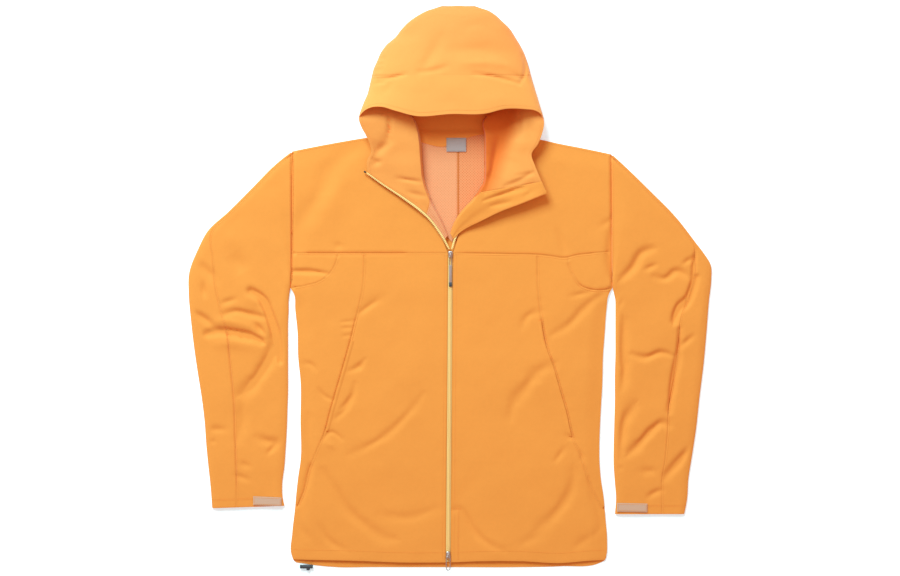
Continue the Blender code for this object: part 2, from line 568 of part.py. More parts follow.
def sleeve_section(row):
    """One closed section of a laid sleeve, from its top seam over the inner edge, along the
    flat underside and round the outer edge. Returns points and the two seam columns."""
    outer, inner = Vector(row[:2]), Vector(row[2:4])
    seam, high = row[4], row[5]
    across = (inner - outer).normalized()
    width = (inner - outer).length

    def top(distance):
        from_edge = min(distance, width - distance)
        rise = 1.0
        if from_edge < FOLD_RUN:
            rise = math.sqrt(max(1 - ((FOLD_RUN - from_edge) / FOLD_RUN) ** 2, 0.0))
        at = outer + across * distance
        z = FOLD_RADIUS + (high - FOLD_RADIUS) * rise
        z += fold_height(SLEEVE_FOLDS, at.x, at.y) * soft_step(from_edge - 3, 14)
        return (at.x, at.y, max(z, FOLD_RADIUS + 0.6 * rise))

    def bottom(distance):
        from_edge = min(distance, width - distance)
        z = 0.0
        if from_edge < FOLD_RADIUS:
            z = FOLD_RADIUS - math.sqrt(FOLD_RADIUS ** 2 - (FOLD_RADIUS - from_edge) ** 2)
        at = outer + across * distance
        return (at.x, at.y, z)

    edge_in = [FOLD_RUN * t for t in (0.62, 0.3, 0.1, 0.02)]
    seam_at = max(seam, 3.0)
    flat_end = width - FOLD_RUN
    spans = 7
    tops = [seam_at + (flat_end - seam_at) * i / spans for i in range(spans + 1)]
    tops += [width - d for d in edge_in]
    rounds = [FOLD_RADIUS * t for t in (0.0, 0.25, 1.0)]
    bottoms = [width - d for d in rounds]
    under = width * UNDER_SEAM
    bottoms += [under + (bottoms[-1] - under) * t for t in (0.5, 0.0)]
    main = [top(d) for d in tops] + [bottom(d) for d in bottoms]
    rest = [bottom(under * t) for t in (0.66, 0.33)]
    rest += [bottom(d) for d in rounds[::-1]]
    edge_out = [seam_at * t for t in (0.03, 0.12, 0.3, 0.55, 0.78, 1.0)]
    rest += [top(d) for d in edge_out]
    points = main + rest
    return points, len(main) - 1


def build_sleeve(tag, rows):
    """Main and elbow panels of one sleeve. The underside rests flat."""
    sections = []
    for row in rows:
        points, cut = sleeve_section(row)
        sections.append(points)
    loft = Loft(sections, turned=-1 if tag == "R" else 1)
    last_row = len(sections) - 1
    last_column = len(sections[0]) - 1
    for line in loft.normals:
        line[0] = line[-1] = (line[0] + line[-1]).normalized()
    loft.cut("sleeve_main_" + tag, (0, last_row), (0, cut), SHELL,
             cut_sides=("first_column", "last_column"))
    loft.cut("sleeve_elbow_" + tag, (0, last_row), (cut, last_column), SHELL,
             cut_sides=("first_column", "last_column"))


def build_cuff_tab(tag, ends):
    """The hook-and-loop tab on top of a cuff."""
    (x0, y0), (x1, y1) = ends
    half = TAB_WIDE / 2
    outline = [(x0, y0 - half), (x1, y1 - half), (x1, y1 + half), (x0, y0 + half)]
    low = CUFF_TOP + GAP
    laid_panel("cuff_tab_" + tag, outline, lambda x, y: low + TAB_THICK, TAB_THICK, TAB_CLOTH,
               step=15, flat_base=low)


def build_hood():
    """Hood shell with its brim, the back of the hood on the surface, and the opened sides."""
    columns = 16
    rows = []
    for right_x, right_y, right_z, left_x, left_y, left_z, ridge in HOOD_ROWS:
        line = []
        for j in range(columns + 1):
            angle = math.pi * (j / columns - 0.5)
            share = 0.5 + 0.5 * math.sin(angle)
            x = right_x + (left_x - right_x) * share
            y = right_y + (left_y - right_y) * share
            edge = right_z + (left_z - right_z) * share
            z = edge + (ridge - edge) * math.cos(angle) ** 0.85
            z += fold_height(HOOD_FOLDS, x, y) * math.cos(angle)
            line.append((x, y, max(z, edge)))
        rows.append(line)
    shares = [0.5 + 0.5 * math.sin(math.pi * (j / columns - 0.5)) for j in range(columns + 1)]
    rows.append([tuple(along(BRIM_EDGE, s)) for s in shares])
    loft = Loft([line[::-1] for line in rows])
    last = len(rows) - 1
    loft.standing([(0, j) for j in range(columns + 1)], lambda p: (0, -1, 0))
    loft.standing([(i, 0) for i in range(last + 1)], lambda p: (-1, -0.25, 0))
    loft.standing([(i, columns) for i in range(last + 1)], lambda p: (1, -0.25, 0))
    loft.cut("hood_crown", (0, HOOD_SEAM_ROW), (0, columns), HOOD_CLOTH,
             cut_sides=("last_row",))
    loft.cut("hood_brim", (HOOD_SEAM_ROW, last), (0, columns), HOOD_CLOTH,
             cut_sides=("first_row",))

    right = [(row[0], row[1]) for row in HOOD_ROWS if row[1] > 378]
    left = [(row[3], row[4]) for row in HOOD_ROWS if row[4] > 378]
    foot_right = [(row[6] - FOOT_LAP, row[7]) for row in FLAP_RIGHT[:5]]
    foot_left = [(row[6] + FOOT_LAP, row[7]) for row in FLAP_LEFT[:5]]
    neck = [(foot_left[-1][0], HOOD_NECK_Y), (foot_right[-1][0], HOOD_NECK_Y)]
    outline = left + foot_left + neck + foot_right[::-1] + right[::-1]
    laid_panel("hood_back", outline, lambda x, y: BACK_TOP, CLOTH, HOOD_CLOTH, step=60,
               flat_base=0.0)


def flap_rows(table):
    """Rows of points over an opened hood side: outer edge, hollow, roll and foot."""
    columns = 12
    rows = []
    for ox, oy, oz, cx, cy, cz, fx, fy, fz in table:
        outer, crest, foot = Vector((ox, oy, oz)), Vector((cx, cy, cz)), Vector((fx, fy, fz))
        width = (crest - outer).length
        middle = outer.lerp(crest, 0.5) - Vector((0, 0, min(width * 0.02, 1.6)))
        near = outer.lerp(crest, 0.86) + Vector((0, 0, 0.3))
        down = crest.lerp(foot, 0.55) + Vector((0, 0, 0.12 * (cz - fz)))
        line = []
        for j in range(columns + 1):
            point = along([outer, middle, near, crest, down, foot], j / columns)
            inner = soft_step(min(j, columns - j), 2)
            point.z += fold_height(FLAP_FOLDS, point.x, point.y) * inner
            line.append(tuple(point))
        rows.append(line)
    return rows


def build_flaps():
    """The opened hood sides, and the front's facing or lining below the neck seam."""
    flaps = {}
    for tag, table, neck, lower, finish in (
        ("R", FLAP_RIGHT, NECK_SEAM_RIGHT, "front_lining_R", MESH_LINING),
        ("L", FLAP_LEFT, NECK_SEAM_LEFT, "front_facing_L", SHELL),
    ):
        rows = flap_rows(table)
        if tag == "L":
            rows = [line[::-1] for line in rows]
        loft = Loft(rows)
        for line in loft.normals:
            for normal in line:
                if normal.z < 0:
                    normal.negate()
        last, wide = len(rows) - 1, len(rows[0]) - 1
        loft.cut("hood_side_" + tag, (0, neck), (0, wide), HOOD_CLOTH, cut_sides=("last_row",))
        loft.cut(lower, (neck, last), (0, wide), finish, cut_sides=("first_row",))
        flaps[tag] = loft
    return flaps


def build_lining():
    """Mesh lining of the back in two halves, and the plain label on it."""
    high = BACK_TOP + GAP + MESH_CLOTH
    for tag, outline in (("R", LINING_RIGHT), ("L", LINING_LEFT)):
        laid_panel("back_lining_" + tag, outline, lambda x, y: high, MESH_CLOTH, MESH_LINING,
                   step=60, flat_base=high - MESH_CLOTH)
    x0, y0, x1, y1 = LABEL_BOX
    top = high + GAP + MESH_CLOTH
    laid_panel("neck_label", [(x0, y0), (x1, y0), (x1, y1), (x0, y1)], lambda x, y: top,
               MESH_CLOTH, LABEL_CLOTH, step=40, flat_base=top - MESH_CLOTH)


# ---------------------------------------------------------------- zip, pulls and cord lock
def block(name, outline, low, high, finish, bevel=0.0):
    """An upright prism on a plan outline, with its upper edges rounded if asked."""
    build = bmesh.new()
    base = build.faces.new([build.verts.new((x, y, low)) for x, y in outline])
    raised = bmesh.ops.extrude_face_region(build, geom=[base])
    lifted = [v for v in raised["geom"] if isinstance(v, bmesh.types.BMVert)]
    bmesh.ops.translate(build, verts=lifted, vec=(0, 0, high - low))
    if bevel:
        edges = [e for e in build.edges if all(v in lifted for v in e.verts)]
        bmesh.ops.bevel(build, geom=edges, offset=bevel, segments=2, affect="EDGES", profile=0.5)
    return add_object(name, build, finish)


def build_zip(flaps):
    """The closed chain down the front, and the two open halves above the slider."""
    slider_ends = [SLIDER_BOTTOM_Y + SLIDER_LONG / 2, SLIDER_BOTTOM_Y - SLIDER_LONG / 2]
    heights = [YOKE_SEAM + 2, -60, -192, -330, *slider_ends, HEM_Y + 1]
    left = [(zip_x(y) + TAPE_HALF, y) for y in heights]
    right = [(zip_x(y) - TAPE_HALF, y) for y in heights]
    laid_panel("zip_chain", right + left[::-1], chain_top, CHAIN_HIGH, TEETH, step=30)
    for tag, first in (("R", ZIP_END_RIGHT), ("L", ZIP_END_LEFT)):
        flap = flaps[tag]
        edge, step_in = (0, 1) if tag == "R" else (len(flap.rows[0]) - 1, -1)
        rows = []
        for i in range(first, len(flap.rows)):
            point, normal = flap.rows[i][edge], flap.normals[i][edge]
            inward = (flap.rows[i][edge + step_in] - point).normalized()
            if tag == "R":
                near, far = point - inward * GAP, point - inward * HALF_TAPE_WIDE
            else:
                under = point - normal * (CLOTH + 3 * GAP)
                near, far = under + inward * HALF_TAPE_WIDE, under + inward * GAP
            rows.append([near, near.lerp(far, 0.5), far])
        sign = -1 if tag == "R" else 1
        end = Vector((zip_x(ZIP_JOIN_Y) + sign * ZIP_JOIN_IN, ZIP_JOIN_Y, ZIP_JOIN_Z))
        out = Vector((sign * ZIP_JOIN_WIDE, 0, 0))
        rows.append([end, end + out * 0.5, end + out])
        strip = Loft(rows, turned=-sign)
        strip.cut("zip_half_" + tag, (0, len(rows) - 1), (0, 2), TEETH, thick=HALF_TAPE_THICK)
    build_slider("top", SLIDER_TOP_Y, PULL_LONG, PULL_WIDE, 4.0)
    build_slider("bottom", SLIDER_BOTTOM_Y, RING_LONG, RING_WIDE, RING_LONG - 3.0)


def chain_top(x, y):
    """Height of the closed chain's upper face."""
    return LOW_TOP + 0.8 + (LOFT - 0.2) * soft_step(y - HEM_Y, HEM_RUN)


def rounded(low_x, low_y, high_x, high_y, radius, steps=3):
    """A rectangle's outline with round corners, anticlockwise from its low right corner."""
    corners = ((high_x - radius, low_y + radius, -90), (high_x - radius, high_y - radius, 0),
               (low_x + radius, high_y - radius, 90), (low_x + radius, low_y + radius, 180))
    points = []
    for x, y, start in corners:
        for step in range(steps + 1):
            angle = math.radians(start + 90 * step / steps)
            points.append((x + radius * math.cos(angle), y + radius * math.sin(angle)))
    return points


def ring_plate(outer, hole, place):
    """A plate with a hole, as a bmesh. place(u, v) gives its upper and lower point."""
    build = bmesh.new()
    loops = []
    for outline in (outer, hole):
        pairs = [place(u, v) for u, v in outline]
        loops.append([build.verts.new(p) for p, _ in pairs])
        loops.append([build.verts.new(p) for _, p in pairs])
    out_top, out_low, hole_top, hole_low = loops
    count = len(outer)
    for i in range(count):
        k = (i + 1) % count
        build.faces.new((out_top[i], out_top[k], hole_top[k], hole_top[i]))
        build.faces.new((out_low[k], out_low[i], hole_low[i], hole_low[k]))
        build.faces.new((out_top[k], out_top[i], out_low[i], out_low[k]))
        build.faces.new((hole_top[i], hole_top[k], hole_low[k], hole_low[i]))
    return build


def unite(item, guests):
    """Join guest solids to an object by Boolean unions."""
    for guest in guests:
        guest.hide_render = True
        guest.display_type = "WIRE"
        joint = item.modifiers.new("join_" + guest.name, "BOOLEAN")
        joint.operation = "UNION"
        joint.solver = "EXACT"
        joint.object = guest


def build_slider(tag, middle, pull_long, pull_wide, hole_long):
    """A slider with its bridge, and the pull that swings on the bridge."""
    x = zip_x(middle)
    half_long, half_wide = SLIDER_LONG / 2, SLIDER_WIDE / 2
    low = chain_top(x, middle + half_long) + GAP
    nose = 1 if tag == "top" else -1
    shape = [(x - half_wide * 0.72, middle - nose * half_long),
             (x + half_wide * 0.72, middle - nose * half_long),
             (x + half_wide, middle + nose * half_long * 0.5),
             (x + half_wide * 0.5, middle + nose * half_long),
             (x - half_wide * 0.5, middle + nose * half_long),
             (x - half_wide, middle + nose * half_long * 0.5)]
    body = block("slider_" + tag, shape, low, low + SLIDER_BODY, METAL, bevel=0.5)
    pin_y = middle - half_long + PIN_IN
    pin_z = low + SLIDER_BODY + PIN_UP
    bridge_outer = rounded(pin_y - 2.2, pin_z - 1.8, pin_y + 6.0, pin_z + 2.0, 0.9)
    bridge_hole = rounded(pin_y - 1.15, pin_z - 1.1, pin_y + 4.0, pin_z + 1.1, 0.5)
    bridge = ring_plate(bridge_outer, bridge_hole,
                        lambda u, v: ((x + 1.1, u, v), (x - 1.1, u, v)))
    bridge = add_object("bridge_" + tag, bridge, METAL)
    unite(body, [bridge])

    rest = chain_top(x, middle - 20) + GAP + PULL_THICK

    def pull_place(u, v):
        """The pull's bar is in the bridge, and the rest comes down onto the zip."""
        down = soft_step(pin_y - 2.4 - v, 7.0)
        top = (pin_z + 0.5) * (1 - down) + rest * down
        deep = 1.0 + (PULL_THICK - 1.0) * down
        return (u, v, top), (u, v, top - deep)

    half_pull = pull_wide / 2
    outer = rounded(x - half_pull, pin_y + 0.6 - pull_long, x + half_pull, pin_y + 0.6, 0.9)
    hole_low = pin_y - 0.6 - hole_long
    hole = rounded(x - half_pull + 0.9, hole_low, x + half_pull - 0.9, pin_y - 0.6, 0.5)
    add_object("pull_" + tag, ring_plate(outer, hole, pull_place), METAL)


def build_cord_lock():
    """The small barrel lock of the hem's drawcord, with its round button."""
    x, y = LOCK_AT
    high = LOCK_RADIUS + 0.1
    turned = []
    for name, centre, axis, radius, long in (
        ("cord_lock", (x, y, high), "X", LOCK_RADIUS, LOCK_LONG),
        ("cord_lock_button", (x + BUTTON_FROM_LOCK[0], y + BUTTON_FROM_LOCK[1], high), "Y",
         BUTTON_RADIUS, BUTTON_LONG),
    ):
        build = bmesh.new()
        bmesh.ops.create_cone(build, cap_ends=True, segments=12, radius1=radius, radius2=radius,
                              depth=long)
        turn = Matrix.Rotation(math.pi / 2, 3, "Y" if axis == "X" else "X")
        bmesh.ops.rotate(build, verts=build.verts, matrix=turn)
        bmesh.ops.translate(build, verts=build.verts, vec=centre)
        turned.append(add_object(name, build, DARK_PLASTIC))
    unite(turned[0], turned[1:])


def clear():
    """Start from an empty scene."""
    for item in list(bpy.data.objects):
        bpy.data.objects.remove(item, do_unlink=True)


def main():
    clear()
    build_body()
    for tag, rows in (("R", SLEEVE_RIGHT), ("L", SLEEVE_LEFT)):
        build_sleeve(tag, rows)
    build_cuff_tab("R", TAB_RIGHT)
    build_cuff_tab("L", TAB_LEFT)
    build_hood()
    flaps = build_flaps()
    build_lining()
    build_zip(flaps)
    build_cord_lock()


main()
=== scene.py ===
"""Looks of a hooded soft-shell running jacket, laid flat on its back with the sleeves folded down.

Shapes are worked out in millimetres in the part's own frame: the front faces up (+Z), the hood
points to +Y, and the wearer's right side, _R, is at -X. Meshes are written in metres.
"""

import math

import bpy
import numpy as np
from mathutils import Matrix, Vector
from mathutils.geometry import delaunay_2d_cdt


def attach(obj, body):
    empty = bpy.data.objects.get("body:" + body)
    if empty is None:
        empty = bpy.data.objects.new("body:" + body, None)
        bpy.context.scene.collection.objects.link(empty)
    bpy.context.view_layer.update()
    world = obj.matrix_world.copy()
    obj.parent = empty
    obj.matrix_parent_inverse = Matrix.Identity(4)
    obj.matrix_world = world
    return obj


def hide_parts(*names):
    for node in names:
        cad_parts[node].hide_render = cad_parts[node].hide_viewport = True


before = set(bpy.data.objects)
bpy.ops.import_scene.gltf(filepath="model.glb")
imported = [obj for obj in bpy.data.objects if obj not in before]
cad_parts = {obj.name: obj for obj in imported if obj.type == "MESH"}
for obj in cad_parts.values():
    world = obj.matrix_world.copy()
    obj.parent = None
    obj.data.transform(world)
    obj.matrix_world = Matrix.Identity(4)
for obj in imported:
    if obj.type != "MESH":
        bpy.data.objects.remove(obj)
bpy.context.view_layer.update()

MM = 0.001
UP = (0.0, 0.0, 1.0)
HALVES = (("R", -1), ("L", 1))     # the wearer's right and left, and the sign of their x

# ---------------------------------------------------------------- sizes shared with the solids
BACK_TOP = 1.5         # upper face of the back panel
GAP = 0.3              # between two pieces at a seam
LOW_TOP = 3.4          # outer face of a front panel that lies on the back
LOFT = 3.0             # how far the front stands above that away from its edges
EDGE_RUN = 34.0        # width over which a front panel comes down to its side seam
UNDERARM_RUN = 40.0    # length over which that starts, below the armhole
HEM_RUN = 30.0         # length over which the front comes down to its hem
HEM_Y = -466.0         # height on the garment (y) of the front hem
YOKE_SEAM = 59.0       # height on the garment (y) of the chest seam
SLEEVE_HIGH = 7.2      # height of a laid sleeve over most of its length
SLEEVE_ARMHOLE = 8.2   # and at the armhole
FOLD_RADIUS = 3.2      # bottom radius of a sleeve's folded edge
FOLD_RUN = 16.0        # how far in from its folded edge a sleeve reaches its full height
UNDER_SEAM = 0.62      # place of the seam on a sleeve's underside, as a share of its width
TAPE_HALF = 3.75       # half the width of the closed zip chain
FOOT_LAP = 6.0         # how far the back of the hood runs under the foot of a hood side
HOOD_NECK_Y = 262.0    # the neck seam between the hood and the back

# sizes of the cloth as it is shown
SHELL_THICK = 1.2      # soft-shell wall
MESH_THICK = 0.8       # mesh lining
HEM_THICK = 2.4        # the brim's free edge, two layers
STEP = 2.8             # mesh step of a panel
RIM_RINGS = (0.9, 2.0) # rows of points in a panel, in from its rim
EDGE_ROLL = 0.35       # least that a sewn edge turns down into its seam
PUCKER = 0.30          # height of the small waves that a seam draws into the cloth
PUCKER_LONG = 9.0      # and their length
PUCKER_RUN = 8.0       # and how far from the seam they fade
STITCH_IN = 2.2        # topstitching, in from its seam
HEM_STITCH_IN = 17.0   # and in from a hem
ZIP_STITCH_IN = 10.0   # and in from the zip
SHOULDER_STITCH_IN = 3.2
ARMHOLE_STITCH_IN = 3.0
COLLAR_STITCH_IN = 5.0
BRIM_STITCH_IN = 6.5
CUFF_STITCHES = (13.0, 15.4)                # two rows, in from the cuff's edge
YOKE_STITCHES = {"R": 262.0, "L": 268.0}    # how far out the yoke seam's stitches go
ZIP_BAR_IN = 16.0      # the stitched box low on the wearer's left, in from the zip
ZIP_BAR_Y = -375.0     # and the height of its top
FOLD_GAIN = 1.6        # how much deeper the creases are shown than their tables say
SLEEVE_GAIN = 1.5      # and those of the sleeves once more
SEAM_GAP = 0.06        # how far a sewn edge is shown set back from its seam line
OPEN_TAPE = 4.4        # width shown of each open zip half
TAPE_THICK = 0.9       # the zip's closed tapes
OPEN_TAPE_THICK = 0.8  # and its open ones
HEM_SHOWN = -474.5     # lowest y at which the back's hem is shown

# ---------------------------------------------------------------- tables, x and y in millimetres
# Seams and edges of the front, by name.
OUTLINES = {
    # side edges, from the underarm to the hem
    "side_R": [(-271, 0), (-265, -10), (-263, -36), (-259, -76), (-258, -117), (-254, -158),
               (-254, -226), (-254, -294), (-258, -321), (-261, -348), (-264, -380), (-268, -416),
               (-269, -454), (-266, -461)],
    "side_L": [(276, 0), (270, -10), (266, -36), (263, -76), (260, -117), (259, -158),
               (256, -212), (254, -260), (254, -294), (256, -321), (261, -355), (264, -389),
               (267, -430), (266, -453), (263, -462)],
    # armholes, from the shoulder to the underarm
    "armhole_R": [(-268.5, 232), (-271, 0)],
    "armhole_L": [(274.5, 227), (276, 0)],
    # shoulders, from the armhole to the neck
    "shoulder_R": [(-268.5, 232), (-254, 235), (-186, 248), (-144, 255), (-76, 261.7)],
    "shoulder_L": [(274.5, 227), (222, 238), (181, 246), (154, 252), (79, 261.7)],
    # hems, from the wearer's right to left
    "hem_R": [(-266, -461), (-220, -462), (-169, -463), (-84, -466), (-7.2, -466)],
    "hem_L": [(0.8, -466), (52, -464), (120, -464), (188, -467), (239, -463), (263, -462)],
    "back_hem": [(-269, -454), (-264, -465), (-250, -468), (-193, HEM_SHOWN), (-135, HEM_SHOWN),
                 (1, HEM_SHOWN), (120, HEM_SHOWN), (188, -473), (255, -467), (264, -462),
                 (266, -453)],
    # seams of the side panels: down the chest, through the pocket, to the side
    "chest_R": [(-145, YOKE_SEAM), (-149, -5), (-159, -49), (-169, -90), (-186, -150),
                (-203, -209), (-212, -243), (-225, -274), (-239, -308), (-248, -345),
                (-258.5, -370)],
    "chest_L": [(149, YOKE_SEAM), (150, -5), (156, -56), (164, -99), (176, -133), (188, -175),
                (198, -209), (208, -252), (222, -286), (235, -325), (248, -356), (259, -374)],
    # seams of the underarm gussets, from the chest seam out to the armhole
    "gusset_R": [(-190, YOKE_SEAM), (-194, 42), (-201, 29), (-210, 19), (-224, 10), (-246, 4),
                 (-271, 0)],
    "gusset_L": [(200, YOKE_SEAM), (202, 40), (209, 22), (222, 4), (242, -3), (262, -3), (276, 0)],
    # neck edges of the yokes, under the opened collar, down to the zip
    "neck_R": [(-76, 261.7), (-71, 233), (-67, 199), (-60, 165), (-47, 136), (-30, 112),
               (-15, 88), (-9, 73), (-3.4, YOKE_SEAM)],
    "neck_L": [(79, 261.7), (81, 233), (81, 199), (76, 172), (57, 139), (35, 116), (17, 94),
               (10, 75), (5.0, YOKE_SEAM)],
}
# How far the laid yoke seam of the wearer's left strays from a straight line: x, and that in y.
SEAM_STRAY = [(10, 0), (100, -1.5), (154, -3), (178, -6), (191, -8), (203, -6.5), (213, -3.7),
              (235, -1), (262, 2), (276, 3.5)]
# Zip centre line, top to bottom.
ZIP_LINE = [(0.8, YOKE_SEAM + 4), (-0.9, -192), (-3.2, -468)]

# Sleeves: one row per section, from the armhole to the cuff: x, y of the outer and of the inner
# folded edge, and how far the elbow seam lies in from the outer one.
SLEEVES = {
    "R": [(-269.2, 231.5, -270.4, 10, 4), (-295, 211, -270.6, 4, 4), (-336, 170, -271.4, -2, 4),
          (-377, 129, -272.8, -11, 4), (-409, 100, -274, -24, 6), (-428, 66, -274, -39, 31),
          (-443, 26, -275, -60, 50), (-444, -8, -275, -87, 59), (-440, -56, -275, -117, 66),
          (-435, -99, -275, -144, 63), (-429, -141, -275, -175, 60), (-422, -185, -276, -206, 56),
          (-417, -226, -277, -238, 52), (-414, -267, -279, -272, 50), (-411, -298, -281, -301, 48),
          (-407, -335, -285, -335, 45), (-405, -359, -284, -357, 43), (-404, -374, -281, -370, 41)],
    "L": [(275.6, 226.5, 275.4, 10, 4), (298, 206, 275.8, 4, 4), (337, 168, 277.0, -3, 4),
          (385, 119, 279.2, -13, 4), (419, 75, 281, -25, 5), (430.5, 60, 281, -38, 18),
          (443, 39, 281, -58, 32), (444, 15, 281, -82, 40), (440, -22, 281, -112, 54),
          (436, -73, 280, -148, 53), (431, -128, 280, -190, 54), (424, -185, 279, -231, 55),
          (418, -240, 278, -269, 50), (411, -286, 278, -301, 46), (405, -325, 280, -330, 45),
          (403, -357, 282, -358, 43), (398, -384, 280, -384, 38)],
}
SLEEVE_ENDS = 3, (6.8, 6.6, 6.4)      # rows at the armhole's height, and heights of the last rows

# Hood shell, far edge to brim seam to brim edge: x of its right and left edge, their y and z, and
# the height of the ridge between them.
HOOD_ROWS = [
    # right x, left x, y, z, ridge
    (-14, 42, 479.4, 1.9, 4),
    (-37, 64, 472, 1.9, 10),
    (-53, 77, 464, 1.9, 16),
    (-69, 89, 453, 1.9, 22),
    (-82, 102, 440, 1.9, 28),
    (-93, 111, 426, 1.9, 33),
    (-108, 119, 413, 2.2, 37),
    (-118, 126, 399, 2.8, 41),
    (-124, 131, 385, 4.5, 45),
    (-130, 135, 371, 7.0, 48),
    (-133, 138, 358, 10.3, 50),     # the brim's seam
    (-136, 142, 344, 14, 52),
    (-139, 146, 330, 17.5, 54),
    (-145, 150, 316, 21.5, 56),
]
HOOD_SEAM_ROW = 10
# The brim's free edge, right corner to left corner: x, y, z.
BRIM_EDGE = [(-154, 289, 29.5), (-147, 297, 36), (-134, 304, 42), (-117, 305, 47), (-92, 298, 52),
             (-58, 289, 55), (1, 292, 57), (60, 293, 55), (93, 301, 51), (127, 301, 45),
             (144, 299, 40), (154, 293, 35), (159, 281, 29.5)]

# Opened hood sides and collar, one row per station from the crown's edge round to the zip.
# Each row runs from the free outer edge over the roll to the foot beside the neck: x, y, z.
FLAP_RIGHT = [
    # outer x, y, z,  crest x, y, z,  foot x, y, z
    (-128, 376, 4.8, -119, 375, 4.2, -114, 374, 3.6),
    (-133, 358, 10.0, -112, 356, 6.5, -105, 355, 3.6),
    (-140, 328, 17.6, -97, 325, 12, -91, 323, 3.6),
    (-150, 303, 25.2, -80, 303, 20, -69, 299, 3.8),
    (-154, 286, 29.0, -67, 286, 26, -53, 284, 4.4),
    (-149, 270, 27, -60, 265, 26, -46, 265, 5.0),
    (-140, 254, 24, -57, 247, 26, -43, 246, 5.4),
    (-133, 232, 19, -55, 228, 25, -43, 228, 5.4),
    (-141, 213, 16, -53, 206, 24, -42, 205, 5.4),
    (-140, 196, 13, -52, 189, 22, -40, 188, 5.4),
    (-115, 178, 13, -48, 174, 20, -37, 173, 5.4),
    (-81, 156, 14, -43, 159, 19, -32, 160, 5.4),
    (-54, 137, 14, -36, 143, 17.5, -26, 146, 5.4),
    (-32, 117, 13, -23, 120, 15, -14, 124, 5.6),
    (-17, 97, 11.5, -13, 102, 12.5, -8, 107, 5.8),
    (-8, 83, 9.5, -6, 87, 10, -2.5, 90, 6.5),
]
FLAP_LEFT = [
    (132, 376, 4.8, 124, 375, 4.2, 119, 374, 3.6),
    (138, 358, 10.0, 118, 356, 6.5, 111, 355, 3.6),
    (146, 328, 17.6, 101, 325, 12, 94, 323, 3.6),
    (154, 302, 25.2, 82, 303, 20, 72, 299, 3.8),
    (159, 280, 29.0, 65, 282, 26, 55, 282, 4.4),
    (156, 262, 28, 67, 260, 26, 58, 260, 5.0),
    (148, 242, 26, 68, 237, 26, 59, 234, 5.4),
    (138, 227, 24, 68, 218, 26, 59, 216, 5.4),
    (144, 206, 26, 68, 198, 26, 59, 195, 5.4),
    (153, 184, 27, 67, 179, 26, 57, 178, 5.4),
    (164, 160, 26, 60, 162, 25, 48, 163, 5.4),
    (119, 142, 24, 50, 147, 22, 38, 149, 5.4),
    (85, 129, 21, 38, 134, 20, 26, 137, 5.4),
    (52, 113, 17, 23, 119, 16, 14, 122, 5.6),
    (23, 98, 12, 11, 103, 12.5, 6, 107, 5.8),
    (5, 83, 9.5, 3.2, 87, 10, 1.2, 92, 6.5),
]
# Outlines of the back's mesh lining, seen through the neck, in two halves with a seam between.
LINING_RIGHT = [(13.3, 261), (-57, 261), (-56, 233), (-54, 207), (-50, 165), (-37, 130),
                (-16, 101), (3, 78), (14.5, 100)]
LINING_LEFT = [(14, 261), (59, 261), (64, 233), (64, 196), (57, 165), (38, 138), (22, 112),
               (14.8, 100)]

# Where the open halves run into the slider: y, z, how far from the zip's line, and their width.
ZIP_JOIN_Y, ZIP_JOIN_Z, ZIP_JOIN_IN, ZIP_JOIN_WIDE = 66.0, 9.2, 1.2, 2.4

# Hard and small pieces.
POCKET_ROWS = {"R": (3, 6), "L": (2, 7)}         # points of the chest seam that a welt runs between
WELT_IN, WELT_WIDE = 1.2, 6.3                    # in from the seam, and wide
WELT_UP, WELT_FALL = 1.30, 1.22                  # over the front, and how much of it a welt loses
SLIDER_LONG, SLIDER_WIDE, SLIDER_BODY = 12.0, 8.0, 2.4
SLIDER_TOP_Y = 57.0
SLIDER_BOTTOM_Y = -453.0
PIN_IN, PIN_UP = 3.2, 1.2                        # the pull's bar, in from the slider's end, and up
PULL_LONG = 52.0
RING_LONG, RING_WIDE = 24.0, 8.0
LABEL = [(-6.0, 231.5), (27.5, 231.5), (27.5, 255.0), (-6.0, 255.0)]    # its corners
LABEL_UP, LABEL_THICK = 0.8, 0.6
SEAM_TAPE_X, SEAM_TAPE_Y = 13.8, (230, 101)      # tape on the lining's seam, top and foot
TABS = {"R": (-334, -361, -286, -363),           # ends of a cuff tab's centre line, x, y
        "L": (283.5, -372.3, 335, -373.3)}
TAB_WIDE, TAB_THICK = 15.0, 1.2
CUFF_TOP = 6.9                                   # height of a cuff's upper face
LOCK_LONG, LOCK_RADIUS = 22.0, 3.3
LOCK_AT = (-244.0, -473.2)
BUTTON_LONG, BUTTON_RADIUS = 6.0, 3.0
BUTTON_FROM_LOCK = (3.0, -3.2)

